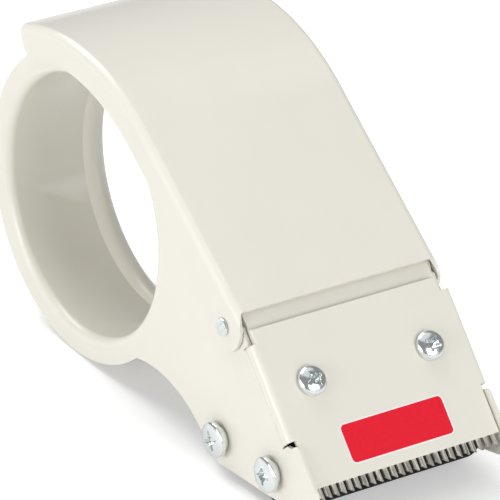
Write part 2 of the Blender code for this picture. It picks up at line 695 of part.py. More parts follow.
def build_hinge_pin():
    """Pin with a low rivet head over each ear."""
    ear_face = COVER_GAP + SHEET + SEAT_GAP
    length = FRAME_WIDTH + 2 * ear_face
    head = [(RIVET_RADIUS, 0), (RIVET_RADIUS * 0.94, RIVET_HEIGHT * 0.45),
            (RIVET_RADIUS * 0.62, RIVET_HEIGHT * 0.88), (0, RIVET_HEIGHT)]
    profile = [(radius, -height) for radius, height in reversed(head)]
    profile += [(PIN_RADIUS, 0), (PIN_RADIUS, length)]
    profile += [(radius, length + height) for radius, height in head]
    pin = turned("hinge_pin", profile, SMALL, ZINC)
    turn_across(pin, PIN, -ear_face)


def spring_points():
    """Wire's centre line from the pin's axis in (along, rise, across): rear leg, coil, front leg."""
    radius = PIN_RADIUS + HOLE_GAP + WIRE_RADIUS
    rear_rise = EAR_RADIUS - SHEET + PIN_DROP * cos(COVER_SLOPE) - SEAT_GAP - WIRE_RADIUS
    cover_lean = COVER_SLOPE - WEB_SLOPE
    rear_turn = asin((rear_rise - radius) / SPRING_LEG_REAR)
    front_rise = BRACKET_TOP - SHEET + PIN_DROP * cos(WEB_SLOPE) - SEAT_GAP - WIRE_RADIUS
    front_end = sqrt(SPRING_LEG_FRONT ** 2 - front_rise ** 2)
    front_turn = atan2(front_rise, front_end) - asin(radius / hypot(front_rise, front_end))
    coil_width = SPRING_TURNS * SPRING_PITCH
    start = HALF_WIDTH - coil_width / 2
    rear_angle = pi / 2 - cover_lean + rear_turn
    front_angle = pi / 2 + front_turn
    turned_by = 2 * pi * (SPRING_TURNS - 1) + (rear_angle - front_angle) % (2 * pi)
    steps = ceil(turned_by / (2 * pi) * POINTS_PER_TURN)
    coil = []
    for i in range(steps + 1):
        angle = rear_angle - turned_by * i / steps
        across = start + SPRING_PITCH * turned_by / (2 * pi) * i / steps
        coil.append((radius * cos(angle), radius * sin(angle), across))
    rear = (coil[0][0] - SPRING_LEG_REAR * sin(rear_angle), coil[0][1] + SPRING_LEG_REAR * cos(rear_angle),
            start)
    front_reach = SPRING_LEG_FRONT - radius
    front = (coil[-1][0] + front_reach * cos(front_turn), coil[-1][1] + front_reach * sin(front_turn),
             coil[-1][2])
    return [rear] + coil + [front]


def least_gap(points):
    """Smallest clear distance between turns that aren't neighbours along the wire."""
    apart = POINTS_PER_TURN // 2
    near = min((a - b).length for i, a in enumerate(points) for b in points[i + apart:])
    return near - 2 * WIRE_RADIUS


def build_spring():
    """Torsion spring on the hinge pin, one leg under the cover and one under the bracket."""
    drop = Vector((0, 0, -PIN_DROP))
    places = [world(slope_point(along, rise), across) + drop for along, rise, across in spring_points()]
    curve = bpy.data.curves.new("cover_spring", "CURVE")
    curve.dimensions = "3D"
    curve.bevel_depth = WIRE_RADIUS
    curve.bevel_resolution = 1
    curve.use_fill_caps = True
    spline = curve.splines.new("POLY")
    spline.points.add(len(places) - 1)
    centre = world(PIN, HALF_WIDTH)
    for point, place in zip(spline.points, places):
        point.co = (*(place - centre), 1)
    spring = bpy.data.objects.new("cover_spring", curve)
    bpy.context.scene.collection.objects.link(spring)
    curve.materials.append(material("cover_spring", *STEEL))
    spring.location = centre
    print(f"cover_spring: least gap between turns {least_gap(places) / MM:.2f} mm")


def blade_outline():
    """(across, along) of the blade, its long edge cut into slanted teeth."""
    left = SHEET + APRON_GAP + BLADE_SIDE_GAP
    right = FRAME_WIDTH - left
    root = APRON_FRONT
    count = int((right - left) / TOOTH_PITCH)
    margin = (right - left - count * TOOTH_PITCH) / 2
    width = TOOTH_PITCH * TOOTH_WIDTH_SHARE
    gullet = root - TOOTH_LENGTH * TOOTH_SLANT_SHARE
    points = [(right, BLADE_BACK), (left, BLADE_BACK), (left, gullet)]
    for i in range(count):
        start = left + margin + i * TOOTH_PITCH + (TOOTH_PITCH - width) / 2
        short = root + TOOTH_LENGTH * (1 - TOOTH_SLANT_SHARE)
        points += [(start, gullet), (start, short), (start + width, root + TOOTH_LENGTH),
                   (start + width, gullet)]
    points.append((right, gullet))
    return points


def build_blade():
    """Flat blade clamped between the web and the bracket."""
    bm = bmesh.new()
    bottom = [bm.verts.new(world(slope_point(along, BLADE_TOP - BLADE_THICKNESS), across))
              for across, along in blade_outline()]
    edges = [bm.edges.new((bottom[i - 1], bottom[i])) for i in range(len(bottom))]
    normal = world(slope_point(0, 1), 0) - world(slope_point(0, 0), 0)
    bmesh.ops.triangle_fill(bm, use_beauty=True, edges=edges, normal=normal)
    lifted = bmesh.ops.extrude_face_region(bm, geom=bm.faces[:])["geom"]
    lift = normal.normalized() * BLADE_THICKNESS
    bmesh.ops.translate(bm, vec=lift, verts=[g for g in lifted if isinstance(g, bmesh.types.BMVert)])
    blade = solid_object("blade", bm, STEEL)
    pierce_for_head_screws(blade, "blade")
    return blade


def build_blade_fasteners():
    """Domed screws through the web, blade and bracket, with lock washers and nuts below."""
    under_bracket = BRACKET_TOP - SHEET
    washer_rise = under_bracket - SEAT_GAP - LOCK_WASHER_HEIGHT
    nut_rise = washer_rise - SEAT_GAP - NUT_HEIGHT
    head_seat = WEB_RISE + SEAT_GAP
    reach = head_seat - nut_rise + SCREW_TIP
    bore = HEAD_SCREW_RADIUS + HOLE_GAP
    for side, across in zip(("near", "far"), head_screw_places()):
        profile = dome_profile(HEAD_SCREW_HEAD, HEAD_SCREW_DOME, HEAD_SCREW_SIDE_SHARE, HEAD_SCREW_RADIUS,
                               reach)
        screw = turned(f"blade_screw_{side}", profile, SMALL, ZINC)
        turn_to_web(screw, HEAD_SCREW_ALONG, head_seat, across)
        recess_screw(screw, HEAD_SCREW_HEAD, HEAD_SCREW_DOME)
        washer = turned(f"lock_washer_{side}", tube_profile(LOCK_WASHER_RADIUS, bore, LOCK_WASHER_HEIGHT),
                        SMALL, ZINC)
        turn_to_web(washer, HEAD_SCREW_ALONG, washer_rise, across)
        build_nut(f"blade_nut_{side}", bore, nut_rise, across)


def build_nut(name, bore, rise, across):
    """Hexagon nut, its corners aligned with the bore's facets."""
    bm = bmesh.new()
    corner = NUT_ACROSS_FLATS / 2 / cos(pi / 6)
    rings = []
    for height in (0, NUT_HEIGHT):
        outer = []
        for i in range(SMALL):
            angle = 2 * pi * i / SMALL
            beside = (angle + pi / 6) % (pi / 3) - pi / 6
            flat = corner * cos(pi / 6) / cos((beside + pi / 6) % (pi / 3) - pi / 6)
            outer.append(bm.verts.new((flat * cos(angle), flat * sin(angle), height)))
        inner = [bm.verts.new((bore * cos(2 * pi * i / SMALL), bore * sin(2 * pi * i / SMALL), height))
                 for i in range(SMALL)]
        rings.append((outer, inner))
    (low_out, low_in), (top_out, top_in) = rings
    for i in range(SMALL):
        j = (i + 1) % SMALL
        bm.faces.new((low_out[i], low_out[j], top_out[j], top_out[i]))
        bm.faces.new((low_in[j], low_in[i], top_in[i], top_in[j]))
        bm.faces.new((top_out[i], top_out[j], top_in[j], top_in[i]))
        bm.faces.new((low_out[j], low_out[i], low_in[i], low_in[j]))
    nut = solid_object(name, bm, ZINC)
    turn_to_web(nut, HEAD_SCREW_ALONG, rise, across)


def build_axle(name, point):
    """Tubular axle between the cheeks, threaded at both ends for its screws."""
    start = SHEET + SEAT_GAP
    bore = AXLE_SCREW_RADIUS + HOLE_GAP
    profile = tube_profile(AXLE_RADIUS, bore, FRAME_WIDTH - 2 * start)
    axle = turned(name, profile, SMALL, ZINC)
    turn_across(axle, point, start)


def build_axle_screws(axle, point):
    """Pan head screws with lock washers that hold an axle from both sides."""
    reach = AXLE_SCREW_REACH + AXLE_SCREW_SEAT
    bore = AXLE_SCREW_RADIUS + HOLE_GAP
    for side, cheek, towards in (("near", 0, -1), ("far", FRAME_WIDTH, 1)):
        profile = dome_profile(AXLE_SCREW_HEAD, AXLE_SCREW_DOME, AXLE_SCREW_SIDE_SHARE, AXLE_SCREW_RADIUS,
                               reach)
        screw = turned(f"{axle}_screw_{side}", profile, SMALL, ZINC)
        turn_across(screw, point, cheek + towards * AXLE_SCREW_SEAT, towards)
        recess_screw(screw, AXLE_SCREW_HEAD, AXLE_SCREW_DOME)
        washer = turned(f"{axle}_washer_{side}", tube_profile(AXLE_WASHER_RADIUS, bore, AXLE_WASHER_HEIGHT),
                        SMALL, ZINC)
        turn_across(washer, point, cheek + towards * SEAT_GAP, towards)


def build_press_roller():
    """Rubber tyre on a steel core that turns on two nylon bushes."""
    start = SHEET + ROLLER_END_GAP
    length = FRAME_WIDTH - 2 * start
    section = tube_profile(ROLLER_RADIUS, CORE_RADIUS + SEAT_GAP, length, ROLLER_EDGE)
    tyre = turned("press_roller_tyre", section, FINE, RUBBER)
    turn_across(tyre, FRONT_AXLE, start)
    core = turned("press_roller_core", tube_profile(CORE_RADIUS, CORE_BORE, length), ROUND, ZINC)
    turn_across(core, FRONT_AXLE, start)
    bush = tube_profile(CORE_BORE - HOLE_GAP, AXLE_RADIUS + HOLE_GAP, BUSH_LENGTH)
    for side, across in (("near", start + BUSH_RECESS),
                         ("far", FRAME_WIDTH - start - BUSH_RECESS - BUSH_LENGTH)):
        made = turned(f"roller_bush_{side}", bush, ROUND, NYLON)
        turn_across(made, FRONT_AXLE, across)


def build_guide_roller():
    """Ribbed nylon roller that leads the tape, between two washers."""
    washer_start = SHEET + SEAT_GAP
    start = washer_start + GUIDE_WASHER + SEAT_GAP
    length = FRAME_WIDTH - 2 * start
    bore = AXLE_RADIUS + HOLE_GAP
    ribs = int((length - GUIDE_RIB) / GUIDE_RIB_PITCH)
    pitch = (length - GUIDE_RIB) / ribs
    outer = []
    for i in range(ribs + 1):
        low = i * pitch
        outer += [(GUIDE_RADIUS, low), (GUIDE_RADIUS, low + GUIDE_RIB)]
        if i < ribs:
            outer += [(GUIDE_RADIUS - GUIDE_GROOVE, low + GUIDE_RIB + GUIDE_GROOVE),
                      (GUIDE_RADIUS - GUIDE_GROOVE, low + pitch - GUIDE_GROOVE)]
    roller = turned("guide_roller", [(bore, 0), *outer, (bore, length)], SMALL, NYLON)
    turn_across(roller, REAR_AXLE, start)
    washer = tube_profile(GUIDE_WASHER_RADIUS, bore, GUIDE_WASHER)
    for side, across in (("near", washer_start), ("far", FRAME_WIDTH - washer_start - GUIDE_WASHER)):
        made = turned(f"guide_washer_{side}", washer, SMALL, ZINC)
        turn_across(made, REAR_AXLE, across)


def main():
    clear_scene()
    build_frame()
    build_cover()
    build_bracket()
    build_hinge_pin()
    build_spring()
    build_blade()
    build_blade_fasteners()
    build_axle("front_axle", FRONT_AXLE)
    build_axle_screws("front_axle", FRONT_AXLE)
    build_press_roller()
    build_axle("rear_axle", REAR_AXLE)
    build_axle_screws("rear_axle", REAR_AXLE)
    build_guide_roller()
    even_shading()
    bpy.context.view_layer.update()


main()
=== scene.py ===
"""Looks of a hand-held tape dispenser of painted sheet steel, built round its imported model.

Lengths are in metres. "Forward" and "up" are measured from the drum's axis, and
"across" from the outer face of the near side plate. On the head, "along" runs
down the web's slope and "rise" stands square to it, from the ears' centre.
"""

from math import acos, asin, atan2, ceil, cos, hypot, pi, radians, sin, sqrt

import bmesh
import bpy
from bpy.props import FloatProperty, FloatVectorProperty, PointerProperty
from mathutils import Matrix, Vector


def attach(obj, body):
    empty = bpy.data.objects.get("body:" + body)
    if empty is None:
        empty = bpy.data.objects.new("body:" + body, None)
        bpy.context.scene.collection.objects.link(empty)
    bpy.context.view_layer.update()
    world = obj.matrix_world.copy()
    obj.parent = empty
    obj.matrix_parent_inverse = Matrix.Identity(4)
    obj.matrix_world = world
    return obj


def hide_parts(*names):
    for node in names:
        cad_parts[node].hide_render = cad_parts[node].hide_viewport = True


bl_info = {
    "name": "Tape Dispenser Looks",
    "version": (1, 0, 0),
    "blender": (4, 5, 0),
    "location": "3D View > Sidebar > Dispenser",
    "description": "Builds the visible pieces of a hand-held tape dispenser and its studio",
    "category": "Object",
}

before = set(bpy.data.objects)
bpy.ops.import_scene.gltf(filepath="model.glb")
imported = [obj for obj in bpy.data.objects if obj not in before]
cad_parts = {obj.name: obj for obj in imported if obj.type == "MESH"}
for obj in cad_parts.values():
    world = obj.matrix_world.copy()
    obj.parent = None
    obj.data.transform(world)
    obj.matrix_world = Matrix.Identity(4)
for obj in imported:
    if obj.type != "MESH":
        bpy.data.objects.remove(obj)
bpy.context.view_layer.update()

MM = 0.001

# Pressed sheet, drum and rim
SHEET = 1.0 * MM
SEAT_GAP = 0.25 * MM
SIDE_GAP = 0.3 * MM
HOLE_GAP = 0.25 * MM
RIM_RADIUS = 43.5 * MM
DRUM_BORE = 36.4 * MM
DRUM_LENGTH = 31.4 * MM
DRUM_FILLET = 2.6 * MM
BEAD_LENGTH = 7.0 * MM
BEAD_RISE = 1.1 * MM
BEAD_SHAPE = ((0, 0), (0.08, 0.25), (0.2, 0.62), (0.36, 0.92), (0.52, 1), (0.7, 0.78), (0.85, 0.3),
              (1, -0.4))

# Cheeks and web
FRAME_WIDTH = 61.35 * MM
HALF_WIDTH = FRAME_WIDTH / 2
EAR = (70.6 * MM, 0.0)
PIN = (70.6 * MM, -0.9 * MM)
HINGE_LOBE = 5.2 * MM
REAR_AXLE = (70.9 * MM, -34.4 * MM)
REAR_CORNER = 7.8 * MM
FRONT_AXLE = (94.6 * MM, -32.3 * MM)
FRONT_BELLY = 7.5 * MM
ARCH_RADIUS = 35.3 * MM
ARCH_FORWARD = REAR_AXLE[0] * 0.5712
WEB_SLOPE = radians(45)
WEB_RISE = 8.4 * MM
WIDE_START = 8.8 * MM
WIDE_END = WIDE_START + 26.9 * MM
TAB_LENGTH = 3.8 * MM
TAB_FAR_INSET = 2.4 * MM
TAB_LEAN = 0.4 * MM
TAB_RELIEF = 0.35 * MM
APRON_LENGTH = 13.4 * MM
APRON_FRONT = WIDE_END + APRON_LENGTH
APRON_GAP = 0.35 * MM
BEND_RADIUS = 1.5 * MM
JOGGLE = 0.95 * MM
TAB_START = BEND_RADIUS - JOGGLE + TAB_RELIEF
JOGGLE_DEPTH = 5.5 * MM
JOGGLE_RAMP = 3.2 * MM
SLIT_WIDTH = 0.35 * MM
SLOT_DROP = 0.2 * MM
SLOT_FOOT = 0.4 * MM
SLOT_MOUTH = 1.5 * MM
CHEEK_PROUD = 1.4 * MM
NOSE_CORNER = 2.0 * MM
NOSE_RADIUS = 4.5 * MM
CHEEK_TOP_ALONG = 3.5 * MM
CHEEK_TOP_REAR = 5.5 * MM
CHEEK_TOP_FRONT = 5.5 * MM
LOBE_LEAN = radians(28)

# Cover
COVER_GAP = 0.3 * MM
EAR_RADIUS = 7.45 * MM
COVER_CLEARANCE = 2.7 * MM
STRAIGHT_SHARE = 0.92
COVER_ARC_RADIUS = 63.5 * MM
COVER_ARC_TURN = radians(56.8)
COVER_ARC_STEPS = 40
COVER_FRONT = 1.3 * MM
COVER_FOLD = 2.4 * MM
FLANGE_DEPTH = 8.6 * MM
FLANGE_CORNER = 3.0 * MM
EAR_BLEND = 5.0 * MM
EAR_BLEND_TURN = radians(38)

# Inner bracket, hinge pin and spring
BLADE_THICKNESS = 0.7 * MM
BLADE_TOP = WEB_RISE - SHEET - SEAT_GAP
BRACKET_TOP = BLADE_TOP - BLADE_THICKNESS - SEAT_GAP
BRACKET_FRONT = 34.0 * MM
BRACKET_LIP = 5.6 * MM
BRACKET_LIP_TURN = radians(50)
LIP_STEPS = 12
NOTCH_STEPS = 10
BRACKET_SKIRT = 4.6 * MM
BRACKET_LOBE = 4.6 * MM
BRACKET_LOBE_TURN = radians(140)
LOBE_STEPS = 20
BRACKET_JOG = 3.5 * MM
BRACKET_TAPER = 8.0 * MM
NOTCH_MARGIN = 2.2 * MM
PIN_RADIUS = 1.6 * MM
RIVET_RADIUS = 2.5 * MM
RIVET_HEIGHT = 0.9 * MM
RIVET_FORM = ((RIVET_RADIUS, 0), (RIVET_RADIUS, 0.25 * MM), (2.35 * MM, 0.5 * MM),
              (2.0 * MM, 0.62 * MM), (1.7 * MM, 0.55 * MM), (1.45 * MM, 0.58 * MM),
              (1.1 * MM, 0.78 * MM), (0.6 * MM, 0.88 * MM), (0, RIVET_HEIGHT))
WIRE_RADIUS = 0.5 * MM
SPRING_TURNS = 5
SPRING_PITCH = 1.5 * MM
SPRING_LEG_REAR = 24.0 * MM
SPRING_LEG_FRONT = 15.0 * MM

# Blade and its fasteners
BLADE_BACK = 15.5 * MM
TOOTH_LENGTH = 3.2 * MM
TOOTH_WIDTH_SHARE = 0.62
TOOTH_SLANT_SHARE = 0.32
BLADE_SIDE_GAP = 0.3 * MM
HEAD_SCREW_ALONG = 22.2 * MM
HEAD_SCREW_INSET = 11.9 * MM
HEAD_SCREW_RADIUS = 1.95 * MM
HEAD_SCREW_HEAD = 4.1 * MM
HEAD_SCREW_DOME = 2.5 * MM
HEAD_SCREW_SIDE_SHARE = 0.25
HEAD_SCREW_PITCH = 0.7 * MM
HEAD_SCREW_THREADED = 6.5 * MM
HEAD_SCREW_FORM = (HEAD_SCREW_HEAD, HEAD_SCREW_DOME, HEAD_SCREW_SIDE_SHARE, HEAD_SCREW_RADIUS,
                   HEAD_SCREW_PITCH, HEAD_SCREW_THREADED)
HEAD_SCREW_TURNS = (0.35, 1.0)
NUT_ACROSS_FLATS = 7.0 * MM
NUT_HEIGHT = 3.0 * MM
LOCK_WASHER_RADIUS = 3.3 * MM
LOCK_WASHER_HEIGHT = 0.9 * MM
SCREW_TIP = 1.0 * MM
SCREW_CHAMFER = 0.4 * MM
SPLIT_TURN = radians(350)

# Cross recess: shares of the head's radius, of the arm's width or of the dome, and lengths
RECESS_REACH = 0.62
RECESS_HALF = 0.6 * MM
RECESS_CORNER = 1.9
RECESS_TAPER_FROM = 0.55
RECESS_TAPER = 0.8
RECESS_MOUTH = 1.12
RECESS_FLOOR = 0.52
RECESS_SINK = 0.95
RECESS_START = 0.6 * MM
RECESS_EXTRA = 0.2 * MM

# Axle screws and rollers
AXLE_SCREW_RADIUS = 2.4 * MM
AXLE_SCREW_HEAD = 4.85 * MM
AXLE_SCREW_DOME = 1.9 * MM
AXLE_SCREW_SIDE_SHARE = 0.45
AXLE_SCREW_REACH = 9.0 * MM
AXLE_SCREW_PITCH = 0.8 * MM
AXLE_SCREW_THREADED = 6.0 * MM
AXLE_SCREW_FORM = (AXLE_SCREW_HEAD, AXLE_SCREW_DOME, AXLE_SCREW_SIDE_SHARE, AXLE_SCREW_RADIUS,
                   AXLE_SCREW_PITCH, AXLE_SCREW_THREADED)
AXLE_SCREW_TURNS = {"near": (0.5, 0.15), "far": (0.9, 1.2)}
AXLE_WASHER_RADIUS = 3.7 * MM
AXLE_WASHER_HEIGHT = 1.2 * MM
AXLE_SCREW_SEAT = SEAT_GAP + AXLE_WASHER_HEIGHT + SEAT_GAP
AXLE_RADIUS = 4.0 * MM
ROLLER_RADIUS = 11.2 * MM
ROLLER_END_GAP = 1.2 * MM
ROLLER_EDGE = 1.2 * MM
CORE_RADIUS = 7.2 * MM
GUIDE_RADIUS = 5.8 * MM
GUIDE_GROOVE = 0.7 * MM
GUIDE_RIB_PITCH = 6.2 * MM
GUIDE_RIB = 2.4 * MM
GUIDE_WASHER = 0.8 * MM

# Label on the web, left blank
LABEL_ALONG = 40.55 * MM
LABEL_ACROSS = 30.9 * MM
LABEL_CORNER = 1.7 * MM
LABEL_THICKNESS = 0.12 * MM
LABEL_LIFT = 0.005 * MM

# Facets of round forms, and the rounding of small pieces' edges
BEND_STEPS = 8
DOME_STEPS = 14
WIRE_STEPS = 28
WIRE_SIDES = 12
NUT_SIDES = 36
HOLE_SIDES = 40
PIN_SIDES = 48
WASHER_SIDES = 48
SCREW_SIDES = 56
GUIDE_SIDES = 64
TYRE_SIDES = 96
DRUM_SIDES = 144
SCREW_ROUNDING = 0.07 * MM
PIN_ROUNDING = 0.08 * MM
BLADE_ROUNDING = 0.1 * MM
WASHER_ROUNDING = 0.1 * MM
TYRE_ROUNDING = 0.15 * MM
NUT_ROUNDING = 0.18 * MM
GUIDE_ROUNDING = 0.18 * MM
SMALL_PIECE_ANGLE = 50

# Camera, fitted to the circles of the rim and the drum, and its place from the drum's mouth
VIEW_RIGHT = Vector((0.824, -0.5641, 0.0570)).normalized()
VIEW_AHEAD = Vector((0.518, 0.7074, -0.4818)).normalized()
VIEW_PLACE = Vector((-0.6562, -0.9748, 0.6357))
VIEW_LENS = 360

# Studio: each lamp's name, place, size and power, and how white the floor and surroundings are
LAMP_AIM = Vector((0, 0, 0.04))
LAMPS = (("side_lamp", (-1.3, 0.0, 0.25), (0.9, 0.6), 6.2),
         ("corner_lamp", (-1.1, -0.45, 0.3), (0.7, 0.5), 2.1),
         ("front_lamp", (0.2, -1.1, 0.45), (0.9, 0.6), 7.0),
         ("rear_lamp", (-0.15, 0.75, 1.0), (0.8, 0.8), 8.0),
         ("top_lamp", (0.1, 0.1, 1.1), (1.1, 1.1), 1.9))
SURROUND_LIGHT = 0.285
FLOOR_SIZE = 6
FLOOR_DROP = 0.5 * MM
FLOOR_COLOUR = (0.9, 0.9, 0.9, 1)
WHITE = (1, 1, 1, 1)
FLOOR_GLOW = (0.3, 1.0)
FLOOR_GLOW_REACH = (0.2, 0.6)

ACROSS_AXIS = Vector((1, 0, 0))
UP = Vector((0, 0, 1))
TINY = 0.0005 * MM
WELD = 0.002 * MM
NEAR_BY = 0.01 * MM


def slope_point(along, rise):
    """Forward and up of a point given on the web's slope."""
    forward = EAR[0] + along * cos(WEB_SLOPE) + rise * sin(WEB_SLOPE)
    up = EAR[1] - along * sin(WEB_SLOPE) + rise * cos(WEB_SLOPE)
    return (forward, up)


NOSE = slope_point(APRON_FRONT + 1.0 * MM, WEB_RISE + CHEEK_PROUD - NOSE_RADIUS)
CENTRE_FORWARD = (NOSE[0] + NOSE_RADIUS - RIM_RADIUS) / 2


def place(point, across):
    """World place of a (forward, up) point at a distance across."""
    return Vector((across - HALF_WIDTH, CENTRE_FORWARD - point[0], point[1] + RIM_RADIUS))


def on_slope(along, rise, across):
    """World place of a point given on the web's slope."""
    return place(slope_point(along, rise), across)


DOWN_SLOPE = (on_slope(1, 0, 0) - on_slope(0, 0, 0)).normalized()
OFF_SLOPE = (on_slope(0, 1, 0) - on_slope(0, 0, 0)).normalized()


def polar(centre, radius, angle):
    return (centre[0] + radius * cos(angle), centre[1] + radius * sin(angle))


def arc(centre, radius, start, end, steps):
    """Points along an arc, both ends included."""
    return [polar(centre, radius, start + (end - start) * i / steps) for i in range(steps + 1)]


def quarter(radius, steps=BEND_STEPS):
    """(inset, drop) of points round a corner, from its side to its top."""
    return [(radius * (1 - cos(turn)), radius * (1 - sin(turn)))
            for turn in (pi / 2 * i / steps for i in range(steps + 1))]


def tangent_angle(centre_a, radius_a, centre_b, radius_b):
    """Angle of the outward normal of the line that runs anticlockwise from circle a to b."""
    across = centre_b[0] - centre_a[0]
    upward = centre_b[1] - centre_a[1]
    return atan2(upward, across) - acos((radius_a - radius_b) / hypot(across, upward))


def sweep(start, control, end, steps):
    """Points along a smooth curve that leaves start and reaches end towards control."""
    points = []
    for i in range(steps + 1):
        t = i / steps
        points.append(tuple((1 - t) ** 2 * s + 2 * t * (1 - t) * c + t * t * e
                            for s, c, e in zip(start, control, end)))
    return points


def smoothed(points, steps):
    """More points on a smooth curve through the given ones."""
    ends = [points[0], *points, points[-1]]
    made = []
    for a, b, c, d in zip(ends, ends[1:], ends[2:], ends[3:]):
        for i in range(steps):
            t = i / steps
            made.append(tuple(0.5 * (2 * q + (r - p) * t + (2 * p - 5 * q + 4 * r - s) * t * t
                                     + (3 * q - p - 3 * r + s) * t ** 3)
                              for p, q, r, s in zip(a, b, c, d)))
    made.append(points[-1])
    return made


COVER_NORMAL = tangent_angle(EAR, EAR_RADIUS, (0, 0), RIM_RADIUS + COVER_CLEARANCE)
COVER_SLOPE = pi / 2 - COVER_NORMAL
COVER_STRAIGHT = EAR[0] * cos(COVER_SLOPE) * STRAIGHT_SHARE


# Modelling by hand, in code

def open_mesh():
    """The mesh that is open in edit mode."""
    return bmesh.from_edit_mesh(bpy.context.edit_object.data)


def keep_mesh():
    bmesh.update_edit_mesh(bpy.context.edit_object.data)


def extrude(move):
    """Extrude what is selected by a world vector."""
    bpy.ops.mesh.extrude_region_move(TRANSFORM_OT_translate={"value": move})


def start_piece(name):
    """Open an empty new piece in edit mode, made from a plane whose corners are deleted."""
    bpy.ops.object.select_all(action="DESELECT")
    bpy.ops.mesh.primitive_plane_add(size=SHEET, location=(0, 0, 0))
    item = bpy.context.object
    item.name = name
    item.data.name = name
    bpy.ops.object.mode_set(mode="EDIT")
    bpy.ops.mesh.select_mode(type="VERT")
    bpy.ops.mesh.delete(type="VERT")
    return item


def pick(test, kind="VERT"):
    """Select only the vertices, edges or faces that pass a test."""
    bpy.ops.mesh.select_mode(type=kind)
    bpy.ops.mesh.select_all(action="DESELECT")
    mesh = open_mesh()
    elements = {"VERT": mesh.verts, "EDGE": mesh.edges, "FACE": mesh.faces}[kind]
    found = [element for element in elements if test(element)]
    if not found:
        raise RuntimeError("nothing was found to work on")
    for element in found:
        element.select_set(True)
    mesh.select_flush_mode()
    keep_mesh()


def trace(points, close=True):
    """Draw a chain of edges through world points by extruding a vertex, and leave it selected."""
    bpy.ops.mesh.select_mode(type="VERT")
    bpy.ops.mesh.select_all(action="SELECT")
    bpy.ops.mesh.hide(unselected=False)
    bpy.ops.mesh.primitive_plane_add(size=SHEET, location=points[0])
    bpy.ops.mesh.merge(type="CENTER")
    for a, b in zip(points, points[1:]):
        extrude(Vector(b) - Vector(a))
    if close:
        ends = (Vector(points[0]), Vector(points[-1]))
        pick(lambda vert: not vert.hide and min((vert.co - end).length for end in ends) < TINY)
        bpy.ops.mesh.edge_face_add()
    bpy.ops.mesh.select_all(action="SELECT")
    bpy.ops.mesh.reveal(select=False)


def add_circle(radius, centre, segments):
    """Loop of edges in a side plane, left selected."""
    bpy.ops.mesh.select_all(action="DESELECT")
    bpy.ops.mesh.primitive_circle_add(vertices=segments, radius=radius, fill_type="NOTHING",
                                      location=centre, rotation=(0, pi / 2, 0))


def merge_close(distance=TINY):
    bpy.ops.mesh.select_mode(type="VERT")
    bpy.ops.mesh.select_all(action="SELECT")
    bpy.ops.mesh.remove_doubles(threshold=distance)


def fill_picked():
    """Fill the selected loops and tidy the flat faces."""
    bpy.ops.mesh.fill(use_beauty=True)
    bpy.ops.mesh.dissolve_limited(angle_limit=radians(0.1))


def face_out(test, direction):
    """Point the whole open surface outwards, judged by one of its faces."""
    bpy.ops.mesh.select_all(action="SELECT")
    bpy.ops.mesh.normals_make_consistent(inside=False)
    seen = next(face for face in open_mesh().faces if test(face))
    if seen.normal.dot(direction) < 0:
        bpy.ops.mesh.select_all(action="SELECT")
        bpy.ops.mesh.flip_normals()


def apply_step(item, kind, **settings):
    """Add one modifier with its settings and apply it."""
    step = item.modifiers.new(kind.lower(), kind)
    for setting, value in settings.items():
        setattr(step, setting, value)
    bpy.ops.object.modifier_apply(modifier=step.name)


def end_edit():
    bpy.ops.object.mode_set(mode="OBJECT")


def close_solid():
    """Point all faces of a closed piece outwards and leave edit mode."""
    bpy.ops.mesh.select_all(action="SELECT")
    bpy.ops.mesh.normals_make_consistent(inside=False)
    end_edit()


def soften(item, width, angle=38):
    """Round the edges that are sharper than an angle, and shade the piece evenly."""
    apply_step(item, "BEVEL", width=width, segments=2, limit_method="ANGLE",
               angle_limit=radians(angle), use_clamp_overlap=True, miter_outer="MITER_ARC",
               harden_normals=False)
    bpy.ops.object.shade_smooth_by_angle(angle=radians(30))
    apply_step(item, "WEIGHTED_NORMAL", keep_sharp=True, weight=80)


def check_closed(item):
    """Stop if a finished piece has an open edge or its faces look inwards."""
    mesh = bmesh.new()
    mesh.from_mesh(item.data)
    loose = sum(1 for edge in mesh.edges if not edge.is_manifold)
    volume = mesh.calc_volume(signed=True)
    mesh.free()
    if loose or volume <= 0:
        raise RuntimeError(f"{item.name} has {loose} open edges and a volume of {volume}")


def finish_piece(item, body, finish, slot, *nodes):
    """Hand a piece over: its finish, the body that it moves with and what it stands for."""
    check_closed(item)
    item.data.materials.append(finish)
    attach(item, body)
    if nodes:
        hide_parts(*nodes)


def select_only(item):
    """Select one object and make it the active one."""
    bpy.ops.object.select_all(action="DESELECT")
    item.select_set(True)
    bpy.context.view_layer.objects.active = item


def copy_piece(item, name, shift):
    """Copy of a piece with its own mesh, moved to its place."""
    select_only(item)
    bpy.ops.object.duplicate(linked=False)
    made = bpy.context.object
    made.name = name
    made.data.name = name
    bpy.ops.object.mode_set(mode="EDIT")
    bpy.ops.mesh.select_all(action="SELECT")
    bpy.ops.transform.translate(value=shift)
    end_edit()
    return made


def finish_pair(item, copy_name, shift, finish, nodes):
    """Copy a zinc plated piece of the frame to its second place, and hand both over."""
    pair = (item, copy_piece(item, copy_name, shift))
    for made, node in zip(pair, nodes):
        finish_piece(made, "frame", finish, "zinc", node)


def turn_profile(name, centre, axis, outward, profile, steps):
    """Solid turned about an axis from (radius, height) points, closed on the axis or on itself."""
    item = start_piece(name)
    trace([centre + axis * height + outward * radius for radius, height in profile],
          close=profile[0][0] > 0)
    bpy.ops.mesh.spin(steps=steps, angle=2 * pi, center=centre, axis=axis, dupli=False)
    merge_close()
    close_solid()
    return item


def cut_away(item, cutter):
    """Subtract a cutter for good and remove it."""
    select_only(item)
    apply_step(item, "BOOLEAN", operation="DIFFERENCE", solver="EXACT", object=cutter)
    bpy.data.objects.remove(cutter)


# Finishes

def set_sockets(node, values):
    """Give some of a node's sockets plain values."""
    for socket, value in values.items():
        node.inputs[socket].default_value = value
    return node


